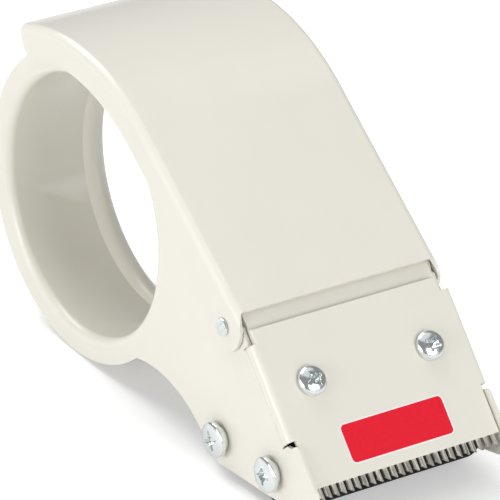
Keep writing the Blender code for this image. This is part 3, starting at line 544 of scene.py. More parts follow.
def nodes_of(name, values):
    """New material with its node tree and its shader, whose sockets get plain values."""
    made = bpy.data.materials.new(name)
    made.use_nodes = True
    return made, made.node_tree, set_sockets(made.node_tree.nodes["Principled BSDF"], values)


def object_noise(tree, scale, detail=3.0, stretch=(1, 1, 1), roughness=0.5):
    """Noise fixed to the piece, optionally stretched."""
    places = tree.nodes.new("ShaderNodeTexCoord")
    mapping = set_sockets(tree.nodes.new("ShaderNodeMapping"), {"Scale": stretch})
    noise = set_sockets(tree.nodes.new("ShaderNodeTexNoise"),
                        {"Scale": scale, "Detail": detail, "Roughness": roughness})
    tree.links.new(places.outputs["Object"], mapping.inputs["Vector"])
    tree.links.new(mapping.outputs["Vector"], noise.inputs["Vector"])
    return noise.outputs["Fac"]


def spread(tree, value, low, high, start=0.3, end=0.7):
    """Map a value between start and end onto a range."""
    node = set_sockets(tree.nodes.new("ShaderNodeMapRange"),
                       {"From Min": start, "From Max": end, "To Min": low, "To Max": high})
    tree.links.new(value, node.inputs["Value"])
    return node.outputs["Result"]


def vary_colour(tree, shader, value, dark, light, start=0.3, end=0.7):
    """Blend the base colour between two by a noise value."""
    ramp = tree.nodes.new("ShaderNodeValToRGB")
    for stop, place_of_stop, colour in zip(ramp.color_ramp.elements, (start, end), (dark, light)):
        stop.position = place_of_stop
        stop.color = (*colour, 1)
    tree.links.new(value, ramp.inputs["Fac"])
    tree.links.new(ramp.outputs["Color"], shader.inputs["Base Color"])


def vary_roughness(tree, shader, value, low, high, start=0.3, end=0.7):
    tree.links.new(spread(tree, value, low, high, start, end), shader.inputs["Roughness"])


def raise_grain(tree, shader, height, strength, depth):
    """Fine relief by a noise value."""
    node = set_sockets(tree.nodes.new("ShaderNodeBump"), {"Strength": strength, "Distance": depth})
    tree.links.new(height, node.inputs["Height"])
    tree.links.new(node.outputs["Normal"], shader.inputs["Normal"])


def shade(colour, share):
    return tuple(channel * share for channel in colour)


def enamel(colour):
    """Glossy stoved paint with a faint orange peel."""
    made, tree, shader = nodes_of("enamel", {"Specular IOR Level": 0.45, "Coat Weight": 0.18,
                                             "Coat Roughness": 0.06})
    vary_colour(tree, shader, object_noise(tree, scale=60, detail=2), shade(colour, 0.975),
                shade(colour, 1.015), start=0, end=1)
    vary_roughness(tree, shader, object_noise(tree, scale=90, detail=2), 0.2, 0.255, start=0, end=1)
    raise_grain(tree, shader, object_noise(tree, scale=480, detail=1),
                strength=0.06, depth=0.03 * MM)
    return made


def bright_zinc(colour):
    """Zinc plating with a slightly uneven gloss."""
    made, tree, shader = nodes_of("bright_zinc", {"Metallic": 1.0})
    vary_colour(tree, shader, object_noise(tree, scale=500), shade(colour, 0.93), colour)
    vary_roughness(tree, shader, object_noise(tree, scale=900), 0.13, 0.24)
    raise_grain(tree, shader, object_noise(tree, scale=1400, detail=2),
                strength=0.12, depth=0.03 * MM)
    return made


def ground_steel(colour):
    """Hardened blade steel, ground along the slope."""
    made, tree, shader = nodes_of("ground_steel", {"Metallic": 0.9})
    lines = object_noise(tree, scale=90, detail=4, stretch=(20, 1.2, 1.2), roughness=0.7)
    vary_colour(tree, shader, lines, shade(colour, 0.35), shade(colour, 1.5))
    vary_roughness(tree, shader, lines, 0.29, 0.44)
    raise_grain(tree, shader, lines, strength=0.25, depth=0.04 * MM)
    return made


def drawn_wire():
    """Dark drawn spring wire."""
    made, tree, shader = nodes_of("drawn_wire", {"Metallic": 0.9})
    lines = object_noise(tree, scale=1500)
    vary_colour(tree, shader, lines, (0.10, 0.095, 0.09), (0.17, 0.165, 0.155))
    vary_roughness(tree, shader, lines, 0.28, 0.42)
    raise_grain(tree, shader, lines, strength=0.2, depth=0.03 * MM)
    return made


def black_rubber():
    """Ground rubber with fine rings round the roller."""
    made, tree, shader = nodes_of("black_rubber", {"Specular IOR Level": 0.12})
    rings = object_noise(tree, scale=160, stretch=(14, 1, 1))
    vary_colour(tree, shader, rings, (0.005, 0.005, 0.005), (0.013, 0.013, 0.013))
    vary_roughness(tree, shader, rings, 0.55, 0.75)
    raise_grain(tree, shader, rings, strength=0.35, depth=0.15 * MM)
    return made


def pale_nylon():
    """Off-white moulded nylon with soft light under its surface."""
    made, tree, shader = nodes_of("pale_nylon", {
        "Subsurface Weight": 0.12, "Subsurface Scale": 1.0 * MM, "Subsurface Radius": (1, 1, 0.9)})
    haze = object_noise(tree, scale=220)
    vary_colour(tree, shader, haze, (0.70, 0.70, 0.66), (0.78, 0.78, 0.73))
    vary_roughness(tree, shader, haze, 0.38, 0.52)
    raise_grain(tree, shader, object_noise(tree, scale=1200, detail=2),
                strength=0.1, depth=0.05 * MM)
    return made


def label_ink(name, colour):
    """Glossy printed film with faintly uneven ink."""
    made, tree, shader = nodes_of(name, {"Roughness": 0.35, "Specular IOR Level": 0.15})
    vary_colour(tree, shader, object_noise(tree, scale=900), shade(colour, 0.94), colour)
    raise_grain(tree, shader, object_noise(tree, scale=900, detail=2),
                strength=0.06, depth=0.03 * MM)
    return made


# The frame

def belly_outline():
    """Bottom and nose of a cheek, from the rear corner to the nose's top edge."""
    bottom = tangent_angle(REAR_AXLE, REAR_CORNER, FRONT_AXLE, FRONT_BELLY)
    chin = tangent_angle(FRONT_AXLE, FRONT_BELLY, NOSE, NOSE_RADIUS)
    crown = pi / 2 - WEB_SLOPE
    return (arc(FRONT_AXLE, FRONT_BELLY, bottom, chin, steps=8)
            + arc(NOSE, NOSE_RADIUS, chin, crown, steps=22))


def head_outline():
    """Top of a cheek, from the nose's corner over the slots to the hinge lobe."""
    crown = pi / 2 - WEB_SLOPE
    floor = WEB_RISE - JOGGLE_DEPTH
    slot_front = WIDE_END + SLOT_FOOT
    slit_back = WIDE_START - SLIT_WIDTH
    corner = slope_point(WIDE_END + SLOT_MOUTH + NOSE_CORNER, WEB_RISE + CHEEK_PROUD - NOSE_CORNER)
    edge = ((WIDE_END + SLOT_MOUTH, WEB_RISE - BEND_RADIUS),
            (slot_front, WEB_RISE - 2 * BEND_RADIUS),
            (slot_front, floor - SLOT_DROP),
            (WIDE_END, floor),
            (WIDE_START, floor),
            (slit_back, floor - SLOT_DROP),
            (slit_back, CHEEK_TOP_FRONT),
            (CHEEK_TOP_ALONG, CHEEK_TOP_REAR))
    points = arc(corner, NOSE_CORNER, crown, crown + pi / 2, steps=10)
    return points + [slope_point(*at) for at in edge]


def near_outline():
    """Side plate with its rim, anticlockwise from the top of the rim."""
    top = tangent_angle(EAR, HINGE_LOBE, (0, 0), RIM_RADIUS) % (2 * pi)
    drop = sqrt((ARCH_RADIUS + REAR_CORNER) ** 2 - (REAR_AXLE[0] - ARCH_FORWARD) ** 2)
    arch = (ARCH_FORWARD, REAR_AXLE[1] - drop)
    reach = hypot(*arch)
    share = (RIM_RADIUS ** 2 - ARCH_RADIUS ** 2 + reach ** 2) / (2 * reach)
    cusp_angle = (atan2(arch[1], arch[0]) + acos(share / RIM_RADIUS)) % (2 * pi)
    cusp = polar((0, 0), RIM_RADIUS, cusp_angle)
    arch_start = atan2(cusp[1] - arch[1], cusp[0] - arch[0])
    arch_end = atan2(REAR_AXLE[1] - arch[1], REAR_AXLE[0] - arch[0])
    bottom = tangent_angle(REAR_AXLE, REAR_CORNER, FRONT_AXLE, FRONT_BELLY)
    points = arc((0, 0), RIM_RADIUS, top, cusp_angle, steps=120)
    points += arc(arch, ARCH_RADIUS, arch_start, arch_end, steps=24)[1:]
    points += arc(REAR_AXLE, REAR_CORNER, arch_end + pi, bottom % (2 * pi), steps=16)[1:]
    points += belly_outline() + head_outline()
    return points + arc(EAR, HINGE_LOBE, pi / 2 - WEB_SLOPE - LOBE_LEAN, top, steps=16)[:-1]


def far_outline():
    """Far cheek, anticlockwise from behind the rear axle."""
    back = tangent_angle(EAR, HINGE_LOBE, REAR_AXLE, REAR_CORNER) % (2 * pi)
    bottom = tangent_angle(REAR_AXLE, REAR_CORNER, FRONT_AXLE, FRONT_BELLY) % (2 * pi)
    points = arc(REAR_AXLE, REAR_CORNER, back, bottom, steps=20)
    points += belly_outline() + head_outline()
    return points + arc(EAR, HINGE_LOBE, pi / 2 - WEB_SLOPE - LOBE_LEAN, back, steps=24)


def drum_profile():
    """(radius, across) of the drum's inner face, from the rim to the beaded end."""
    fillet = [(DRUM_BORE + drop, inset) for inset, drop in quarter(DRUM_FILLET, steps=10)]
    start = DRUM_LENGTH - BEAD_LENGTH
    bead = [(DRUM_BORE - BEAD_RISE * inward, start + BEAD_LENGTH * length)
            for length, inward in BEAD_SHAPE]
    return fillet[1:] + smoothed(bead, 3)


def bend_section():
    """(across, rise) of the outer surface, from the near cheek over the web to the far one."""
    foot = WEB_RISE - JOGGLE_DEPTH
    near = [(0, foot)]
    for i in range(1, BEND_STEPS + 1):
        share = i / BEND_STEPS
        near.append((-JOGGLE * (1 - cos(pi * share)) / 2, foot + JOGGLE_RAMP * share))
    near += [(inset - JOGGLE, WEB_RISE - drop) for inset, drop in quarter(BEND_RADIUS)]
    near += [(TAB_START, WEB_RISE), (SHEET + APRON_GAP, WEB_RISE)]
    tongue_side = (FRAME_WIDTH - TAB_FAR_INSET, WEB_RISE)
    return near + [tongue_side] + [(FRAME_WIDTH - across, rise) for across, rise in reversed(near)]


def pick_plane(across):
    """Select the edges that lie in one side plane."""
    side = place((0, 0), across).x
    pick(lambda edge: all(abs(vert.co.x - side) < TINY for vert in edge.verts), "EDGE")


def draw_plate(outline, across, holes):
    """Flat plate with round holes, in one side plane."""
    trace([place(point, across) for point in outline])
    for centre, radius, segments in holes:
        add_circle(radius, place(centre, across), segments)
    pick_plane(across)
    fill_picked()


def shaft_holes():
    """Holes for the hinge pin and the axle screws."""
    screw = AXLE_SCREW_RADIUS + HOLE_GAP
    return [(PIN, PIN_RADIUS + HOLE_GAP, HOLE_SIDES), (REAR_AXLE, screw, HOLE_SIDES),
            (FRONT_AXLE, screw, HOLE_SIDES)]


def draw_web():
    """Web bent over between the cheeks, with its tongue and its apron."""
    section = bend_section()
    trace([on_slope(WIDE_START, rise, across) for across, rise in section], close=False)
    extrude(DOWN_SLOPE * (WIDE_END - WIDE_START))
    inset = SHEET + APRON_GAP
    for along, first, last, move in (
            (WIDE_START, TAB_START, FRAME_WIDTH - TAB_FAR_INSET,
             -DOWN_SLOPE * TAB_LENGTH - ACROSS_AXIS * TAB_LEAN),
            (WIDE_END, inset, FRAME_WIDTH - inset, DOWN_SLOPE * APRON_LENGTH)):
        ends = (on_slope(along, WEB_RISE, first), on_slope(along, WEB_RISE, last))

        def on_edge(vert):
            beside = vert.co - ends[0]
            beside.x = 0
            return beside.length < TINY and ends[0].x - TINY < vert.co.x < ends[1].x + TINY

        pick(lambda edge: all(on_edge(vert) for vert in edge.verts), "EDGE")
        extrude(move)


def draw_drum(hole_radius):
    """Drum wall drawn inwards from the near plate's round hole."""
    centre = place((0, 0), 0)

    def on_hole(edge):
        return all(abs(v.co.x - centre.x) < TINY
                   and abs(hypot(v.co.y - centre.y, v.co.z - centre.z) - hole_radius) < NEAR_BY
                   for v in edge.verts)

    pick(on_hole, "EDGE")
    radius, across = hole_radius, 0
    for next_radius, next_across in drum_profile():
        extrude(ACROSS_AXIS * (next_across - across))
        share = next_radius / radius
        bpy.ops.transform.resize(value=(1, share, share),
                                 center_override=place((0, 0), next_across))
        radius, across = next_radius, next_across


def head_screw_places():
    return (HEAD_SCREW_INSET, FRAME_WIDTH - HEAD_SCREW_INSET)


def pierce_for_head_screws(item):
    """Drill the two screw holes through a sheet on the slope."""
    radius = HEAD_SCREW_RADIUS + HOLE_GAP
    low, high = -WEB_RISE, 2 * WEB_RISE
    for across in head_screw_places():
        drill = turn_profile("drill", on_slope(HEAD_SCREW_ALONG, 0, across), OFF_SLOPE, ACROSS_AXIS,
                             [(0, low), (radius, low), (radius, high), (0, high)], HOLE_SIDES)
        cut_away(item, drill)


def thicken(item):
    """Give a drawn surface the sheet's thickness, inwards."""
    apply_step(item, "SOLIDIFY", thickness=SHEET, offset=-1, use_even_offset=True)


def build_frame(sizes):
    item = start_piece("frame_pressing")
    hole = DRUM_BORE + DRUM_FILLET
    draw_plate(near_outline(), 0, [((0, 0), hole, DRUM_SIDES), *shaft_holes()])
    draw_drum(hole)
    draw_plate(far_outline(), FRAME_WIDTH, shaft_holes())
    draw_web()
    merge_close()
    face_out(lambda face: abs(face.calc_center_median().x + HALF_WIDTH) < TINY, -ACROSS_AXIS)
    end_edit()
    thicken(item)
    pierce_for_head_screws(item)
    soften(item, sizes.edge_rounding)
    finish_piece(item, "frame", enamel(sizes.paint_colour), "paint", "frame")


# The cover

def cover_stations():
    """(point, outward angle) along the cover's top, from the hinge to the rear."""
    front = polar(EAR, EAR_RADIUS, COVER_NORMAL)
    back = (front[0] - COVER_STRAIGHT * cos(COVER_SLOPE),
            front[1] + COVER_STRAIGHT * sin(COVER_SLOPE))
    centre = polar(back, -COVER_ARC_RADIUS, COVER_NORMAL)
    stations = [(front, COVER_NORMAL)]
    for i in range(COVER_ARC_STEPS + 1):
        angle = COVER_NORMAL + COVER_ARC_TURN * i / COVER_ARC_STEPS
        stations.append((polar(centre, COVER_ARC_RADIUS, angle), angle))
    return stations


def cover_section():
    """(across, depth) of the outer surface from the near flange over to the far one."""
    near_face = -COVER_GAP - SHEET
    near = [(near_face + inset, drop) for inset, drop in quarter(COVER_FOLD)]
    return near + [(FRAME_WIDTH - across, depth) for across, depth in reversed(near)]


def flange_outline(stations):
    """Lower edge of a flange from its rear end round the ear, without the fold line."""
    last, last_angle = stations[-1]
    corner_depth = polar(last, FLANGE_CORNER - FLANGE_DEPTH, last_angle)
    corner_centre = polar(corner_depth, FLANGE_CORNER, last_angle - pi / 2)
    points = arc(corner_centre, FLANGE_CORNER, last_angle + pi / 2, last_angle + pi, steps=10)
    points += [polar(point, -FLANGE_DEPTH, angle) for point, angle in reversed(stations[1:-1])][1:]
    normal = stations[0][1]
    lean = asin((FLANGE_DEPTH - EAR_RADIUS) / EAR_RADIUS)
    meet = polar(EAR, EAR_RADIUS, normal + pi / 2 + lean)
    before = polar(meet, EAR_BLEND, normal + pi / 2)
    after_angle = normal + pi / 2 + lean + EAR_BLEND_TURN
    points += sweep(before, meet, polar(EAR, EAR_RADIUS, after_angle), steps=10)
    fold_turn = acos((EAR_RADIUS - COVER_FOLD) / EAR_RADIUS)
    points += arc(EAR, EAR_RADIUS, after_angle, normal + 2 * pi - fold_turn, steps=36)[1:]
    return points


def build_cover(sizes):
    item = start_piece("cover_pressing")
    stations = cover_stations()
    section = cover_section()
    ahead = (place((1, 0), 0) - place((0, 0), 0)) * cos(COVER_SLOPE) - UP * sin(COVER_SLOPE)
    front_edge = [place(polar(stations[0][0], -depth, COVER_NORMAL), across)
                  for across, depth in section]
    trace(front_edge, close=False)
    extrude(-ahead * COVER_STRAIGHT)
    centre = place(polar(stations[1][0], -COVER_ARC_RADIUS, COVER_NORMAL), 0)
    bpy.ops.mesh.spin(steps=COVER_ARC_STEPS, angle=COVER_ARC_TURN, center=centre, axis=ACROSS_AXIS,
                      dupli=False)
    merge_close()
    for corner, (_, depth) in zip(front_edge, section):
        reach = max(COVER_FRONT, sqrt(EAR_RADIUS ** 2 - (EAR_RADIUS - depth) ** 2))
        pick(lambda vert: (vert.co - corner).length < NEAR_BY)
        bpy.ops.transform.translate(value=ahead * reach)
    outline = flange_outline(stations)
    rear, rear_angle = stations[-1]
    rear_fold = polar(rear, -COVER_FOLD, rear_angle)
    for across in (section[0][0], section[-1][0]):
        trace([place(point, across) for point in outline], close=False)
        trace([place(rear_fold, across), place(outline[0], across)], close=False)
        add_circle(PIN_RADIUS + HOLE_GAP, place(PIN, across), HOLE_SIDES)
        merge_close(WELD)
        pick_plane(across)
        fill_picked()
    merge_close()
    quarter_width = HALF_WIDTH / 2
    face_out(lambda face: face.normal.z ** 2 > 0.5
             and abs(face.calc_center_median().x) < quarter_width, UP)
    end_edit()
    thicken(item)
    soften(item, sizes.edge_rounding)
    finish_piece(item, "cover", enamel(sizes.paint_colour), "paint", "cover")


# The inner bracket

def bracket_path():
    """(along, rise) of the bracket's top face, from its front to the end of the rolled lip."""
    knee = (WIDE_START, BLADE_TOP)
    touch = atan2(*knee) - acos(BRACKET_LIP / hypot(*knee))
    points = [(BRACKET_FRONT, BRACKET_TOP), (BRACKET_FRONT - BRACKET_TAPER, BRACKET_TOP),
              (WIDE_START + BRACKET_JOG, BRACKET_TOP), knee]
    for i in range(LIP_STEPS + 1):
        angle = touch - BRACKET_LIP_TURN * i / LIP_STEPS
        points.append((BRACKET_LIP * sin(angle), BRACKET_LIP * cos(angle)))
    return points


def bracket_skirt(path):
    """Lower edge of a skirt, from the lip's end round the hinge to the front."""
    end_angle = atan2(*path[-1])
    turns = (end_angle - BRACKET_LOBE_TURN * i / LOBE_STEPS for i in range(1, LOBE_STEPS + 1))
    foot = BRACKET_TOP - BRACKET_SKIRT
    return [(BRACKET_LOBE * sin(turn), BRACKET_LOBE * cos(turn)) for turn in turns] + [
        (WIDE_START, foot), (BRACKET_FRONT - BRACKET_TAPER, foot),
        (BRACKET_FRONT, BRACKET_TOP - SHEET - SIDE_GAP)]


def build_bracket(sizes):
    item = start_piece("inner_bracket_pressing")
    path = bracket_path()
    inside = SHEET + SIDE_GAP
    notch = SPRING_TURNS * SPRING_PITCH / 2 + NOTCH_MARGIN
    columns = (inside, HALF_WIDTH - notch, HALF_WIDTH + notch, FRAME_WIDTH - inside)
    trace([on_slope(*path[0], across) for across in columns], close=False)
    for a, b in zip(path, path[1:]):
        extrude(on_slope(*b, 0) - on_slope(*a, 0))
    notch_from = on_slope(*path[-1 - NOTCH_STEPS], 0)

    def in_notch(face):
        middle = face.calc_center_median()
        return abs(middle.x) < notch and (middle - notch_from).dot(DOWN_SLOPE) < 0

    pick(in_notch, "FACE")
    bpy.ops.mesh.delete(type="FACE")
    skirt = bracket_skirt(path)
    for across in (columns[0], columns[-1]):
        trace([on_slope(*point, across) for point in (path[-1], *skirt, path[0])], close=False)
        add_circle(PIN_RADIUS + HOLE_GAP, place(PIN, across), HOLE_SIDES)
        merge_close()
        pick_plane(across)
        fill_picked()
    merge_close()
    face_out(lambda face: abs(face.calc_center_median().x + HALF_WIDTH - inside) < TINY,
             -ACROSS_AXIS)
    end_edit()
    thicken(item)
    pierce_for_head_screws(item)
    soften(item, sizes.edge_rounding)
    finish_piece(item, "frame", enamel(sizes.paint_colour), "paint", "inner_bracket")


# Hinge pin and cover spring

def build_hinge_pin(sizes):
    """Pin with a formed rivet head over each ear."""
    ear_face = COVER_GAP + SHEET + SEAT_GAP
    length = FRAME_WIDTH + 2 * ear_face
    profile = [(radius, -height) for radius, height in reversed(RIVET_FORM)]
    profile += [(PIN_RADIUS, 0), (PIN_RADIUS, length)]
    profile += [(radius, length + height) for radius, height in RIVET_FORM]
    item = turn_profile("hinge_pin_riveted", place(PIN, -ear_face), ACROSS_AXIS, UP, profile,
                        PIN_SIDES)
    soften(item, PIN_ROUNDING, SMALL_PIECE_ANGLE)
    finish_piece(item, "frame", bright_zinc(sizes.zinc_colour), "zinc", "hinge_pin")


def build_spring():
    """Torsion spring on the hinge pin, its wire bent section by section."""
    radius = PIN_RADIUS + HOLE_GAP + WIRE_RADIUS
    rear_rise = EAR_RADIUS - SHEET - PIN[1] * cos(COVER_SLOPE) - SEAT_GAP - WIRE_RADIUS
    rear_turn = asin((rear_rise - radius) / SPRING_LEG_REAR)
    front_rise = BRACKET_TOP - SHEET - PIN[1] * cos(WEB_SLOPE) - SEAT_GAP - WIRE_RADIUS
    front_end = sqrt(SPRING_LEG_FRONT ** 2 - front_rise ** 2)
    front_turn = atan2(front_rise, front_end) - asin(radius / hypot(front_rise, front_end))
    start = HALF_WIDTH - SPRING_TURNS * SPRING_PITCH / 2
    rear_angle = pi / 2 - (COVER_SLOPE - WEB_SLOPE) + rear_turn
    front_angle = pi / 2 + front_turn
    turned_by = 2 * pi * (SPRING_TURNS - 1) + (rear_angle - front_angle) % (2 * pi)
    steps = ceil(turned_by / (2 * pi) * WIRE_STEPS)
    pin = place(PIN, start)
    out = DOWN_SLOPE * cos(rear_angle) + OFF_SLOPE * sin(rear_angle)
    back = -DOWN_SLOPE * sin(rear_angle) + OFF_SLOPE * cos(rear_angle)
    item = start_piece("cover_spring_wire")
    first = pin + out * radius + back * SPRING_LEG_REAR
    bpy.ops.mesh.primitive_circle_add(vertices=WIRE_SIDES, radius=WIRE_RADIUS, fill_type="NGON",
                                      location=first,
                                      rotation=back.to_track_quat("Z", "Y").to_euler())
    extrude(-back * SPRING_LEG_REAR)
    step_turn = turned_by / steps
    for _ in range(steps):
        extrude(ACROSS_AXIS * (SPRING_PITCH * step_turn / (2 * pi)))
        bpy.ops.transform.rotate(value=-step_turn, orient_axis="X", center_override=pin)
    ring = open_mesh()
    middle = sum((v.co for v in ring.verts if v.select), Vector()) / WIRE_SIDES
    offset = middle - pin
    offset.x = 0
    tangent = ACROSS_AXIS.cross(offset).normalized()
    leg = DOWN_SLOPE * cos(front_turn) + OFF_SLOPE * sin(front_turn)
    if tangent.dot(leg) < 0:
        tangent = -tangent
    extrude(tangent * (SPRING_LEG_FRONT - radius))
    merge_close()
    close_solid()
    bpy.ops.object.shade_smooth_by_angle(angle=radians(40))
    finish_piece(item, "frame", drawn_wire(), "spring_steel", "cover_spring")


# Blade and its fasteners

def blade_outline(pitch):
    """(across, along) of the blade, its long edge cut into slanted teeth."""
    left = SHEET + APRON_GAP + BLADE_SIDE_GAP
    right = FRAME_WIDTH - left
    count = int((right - left) / pitch)
    margin = (right - left - count * pitch) / 2
    width = pitch * TOOTH_WIDTH_SHARE
    gullet = APRON_FRONT - TOOTH_LENGTH * TOOTH_SLANT_SHARE
    points = [(right, BLADE_BACK), (left, BLADE_BACK), (left, gullet)]
    for i in range(count):
        start = left + margin + i * pitch + (pitch - width) / 2
        short = APRON_FRONT + TOOTH_LENGTH * (1 - TOOTH_SLANT_SHARE)
        points += [(start, gullet), (start, short), (start + width, APRON_FRONT + TOOTH_LENGTH),
                   (start + width, gullet)]
    points.append((right, gullet))
    return points


def build_blade(sizes):
    item = start_piece("blade_ground")
    low = BLADE_TOP - BLADE_THICKNESS
    trace([on_slope(along, low, across) for across, along in blade_outline(sizes.tooth_pitch)])
    fill_picked()
    bpy.ops.mesh.select_all(action="SELECT")
    extrude(OFF_SLOPE * BLADE_THICKNESS)
    close_solid()
    pierce_for_head_screws(item)
    soften(item, BLADE_ROUNDING, SMALL_PIECE_ANGLE)
    finish_piece(item, "frame", ground_steel(sizes.steel_colour), "blade_steel", "blade")


def screw_profile(form, reach):
    """Section of a domed screw with thread rings near its end, its head's seat at height 0."""
    head, dome, side_share, shank, pitch, threaded = form
    tip = SCREW_CHAMFER - reach
    count = int(threaded / pitch)
    points = [(0, -reach), (shank - SCREW_CHAMFER, -reach)]
    for i in range(count):
        low = tip + i * pitch
        points += [(shank, low), (shank - pitch / 2, low + pitch / 2)]
    points += [(shank, tip + count * pitch), (shank, 0), (head, 0)]
    for i in range(DOME_STEPS):
        turn = pi / 2 * i / DOME_STEPS
        points.append((head * cos(turn), dome * (side_share + (1 - side_share) * sin(turn))))
    return points + [(0, dome)]


def cross_recess(item, seat, axis, outward, form, turn):
    """Cut a cross recess that narrows downwards into a screw's head."""
    head, dome = form[:2]
    reach = head * RECESS_REACH
    inner = RECESS_HALF * RECESS_CORNER
    tip = RECESS_HALF * RECESS_TAPER
    arm = ((inner, inner), (RECESS_HALF, reach * RECESS_TAPER_FROM), (tip, reach), (-tip, reach),
           (-RECESS_HALF, reach * RECESS_TAPER_FROM))
    side = axis.cross(outward)
    spokes = []
    for arm_angle in (turn + pi / 2 * i for i in range(4)):
        ahead = outward * cos(arm_angle) + side * sin(arm_angle)
        beside = side * cos(arm_angle) - outward * sin(arm_angle)
        spokes += [ahead * x + beside * y for x, y in arm]
    cutter = start_piece("recess")
    top = seat + axis * (dome + RECESS_START)
    sink = axis * (dome * RECESS_SINK + RECESS_EXTRA)
    trace([top + spoke * RECESS_MOUTH for spoke in spokes])
    bpy.ops.mesh.edge_face_add()
    extrude(-sink)
    bpy.ops.transform.resize(value=(RECESS_FLOOR,) * 3, center_override=top - sink)
    close_solid()
    cut_away(item, cutter)


def domed_screw(name, seat, axis, outward, form, reach, turn):
    """Threaded screw with a domed, cross-recessed head that sits at a given place."""
    item = turn_profile(name, seat, axis, outward, screw_profile(form, reach), SCREW_SIDES)
    cross_recess(item, seat, axis, outward, form, turn)
    soften(item, SCREW_ROUNDING, SMALL_PIECE_ANGLE)
    return item


def split_washer(name, centre, axis, outward, form):
    """Spring washer cut through once, its ends slightly apart."""
    bore, radius, height = form
    item = start_piece(name)
    trace([centre + outward * reach + axis * level
           for reach, level in ((bore, 0), (radius, 0), (radius, height), (bore, height))])
    bpy.ops.mesh.edge_face_add()
    bpy.ops.mesh.spin(steps=WASHER_SIDES, angle=SPLIT_TURN, center=centre, axis=axis, dupli=False)
    close_solid()
    soften(item, WASHER_ROUNDING, SMALL_PIECE_ANGLE)
    return item


def hexagon_nut(name, centre, bore):
    """Nut that stands square to the slope."""
    item = start_piece(name)
    corner = NUT_ACROSS_FLATS / 2 / cos(pi / 6)
    side = OFF_SLOPE.cross(ACROSS_AXIS)
    angles = [pi / 3 * i + pi / 6 for i in range(6)]
    trace([centre + (ACROSS_AXIS * cos(angle) + side * sin(angle)) * corner for angle in angles])
    bpy.ops.mesh.primitive_circle_add(vertices=NUT_SIDES, radius=bore, fill_type="NOTHING",
                                      location=centre,
                                      rotation=OFF_SLOPE.to_track_quat("Z", "Y").to_euler())
    bpy.ops.mesh.select_all(action="SELECT")
    bpy.ops.mesh.fill(use_beauty=True)
    bpy.ops.mesh.select_all(action="SELECT")
    extrude(OFF_SLOPE * NUT_HEIGHT)
    close_solid()
    soften(item, NUT_ROUNDING, angle=40)
    return item


def build_blade_fasteners(sizes):
    """Domed screws through the web, blade and bracket, with lock washers and nuts below."""
    finish = bright_zinc(sizes.zinc_colour)
    washer_rise = BRACKET_TOP - SHEET - SEAT_GAP - LOCK_WASHER_HEIGHT
    nut_rise = washer_rise - SEAT_GAP - NUT_HEIGHT
    head_seat = WEB_RISE + SEAT_GAP
    reach = head_seat - nut_rise + SCREW_TIP
    bore = HEAD_SCREW_RADIUS + HOLE_GAP
    near, far = head_screw_places()
    for side, across, turn in zip(("near", "far"), (near, far), HEAD_SCREW_TURNS):
        seat = on_slope(HEAD_SCREW_ALONG, head_seat, across)
        item = domed_screw(f"blade_screw_{side}_domed", seat, OFF_SLOPE, ACROSS_AXIS,
                           HEAD_SCREW_FORM, reach, turn)
        finish_piece(item, "frame", finish, "zinc", f"blade_screw_{side}")
    shift = ACROSS_AXIS * (far - near)
    washer = split_washer("lock_washer_near_split", on_slope(HEAD_SCREW_ALONG, washer_rise, near),
                          OFF_SLOPE, ACROSS_AXIS, (bore, LOCK_WASHER_RADIUS, LOCK_WASHER_HEIGHT))
    finish_pair(washer, "lock_washer_far_split", shift, finish,
                ("lock_washer_near", "lock_washer_far"))
    nut = hexagon_nut("blade_nut_near_hexagon", on_slope(HEAD_SCREW_ALONG, nut_rise, near), bore)
    finish_pair(nut, "blade_nut_far_hexagon", shift, finish,
                ("blade_nut_near", "blade_nut_far"))


# Axle screws and rollers

def build_axle_screws(sizes):
    """Pan head screws with spring washers that hold both axles from both sides."""
    finish = bright_zinc(sizes.zinc_colour)
    reach = AXLE_SCREW_REACH + AXLE_SCREW_SEAT
    washer_form = (AXLE_SCREW_RADIUS + HOLE_GAP, AXLE_WASHER_RADIUS, AXLE_WASHER_HEIGHT)
    shift = place(FRONT_AXLE, 0) - place(REAR_AXLE, 0)
    for side, cheek, axis in (("near", 0, -ACROSS_AXIS), ("far", FRAME_WIDTH, ACROSS_AXIS)):
        rear_turn, front_turn = AXLE_SCREW_TURNS[side]
        for end, point, turn in (("rear", REAR_AXLE, rear_turn), ("front", FRONT_AXLE, front_turn)):
            seat = place(point, cheek) + axis * AXLE_SCREW_SEAT
            item = domed_screw(f"{end}_axle_screw_{side}_pan", seat, axis, UP, AXLE_SCREW_FORM,
                               reach, turn)
            finish_piece(item, "frame", finish, "zinc", f"{end}_axle_screw_{side}")
        washer = split_washer(f"rear_axle_washer_{side}_split",
                              place(REAR_AXLE, cheek) + axis * SEAT_GAP, axis, UP, washer_form)
        finish_pair(washer, f"front_axle_washer_{side}_split", shift, finish,
                    (f"rear_axle_washer_{side}", f"front_axle_washer_{side}"))


def build_press_roller():
    """Rubber tyre with rounded shoulders."""
    start = SHEET + ROLLER_END_GAP
    length = FRAME_WIDTH - 2 * start
    bore = CORE_RADIUS + SEAT_GAP
    shoulder = quarter(ROLLER_EDGE)
    outer = [(ROLLER_RADIUS - inset, drop) for inset, drop in reversed(shoulder)]
    outer += [(ROLLER_RADIUS - inset, length - drop) for inset, drop in shoulder]
    item = turn_profile("press_roller_tyre_rubber", place(FRONT_AXLE, start), ACROSS_AXIS, UP,
                        [(bore, 0), *outer, (bore, length)], TYRE_SIDES)
    soften(item, TYRE_ROUNDING, SMALL_PIECE_ANGLE)
    finish_piece(item, "press_roller", black_rubber(), "rubber", "press_roller_tyre")


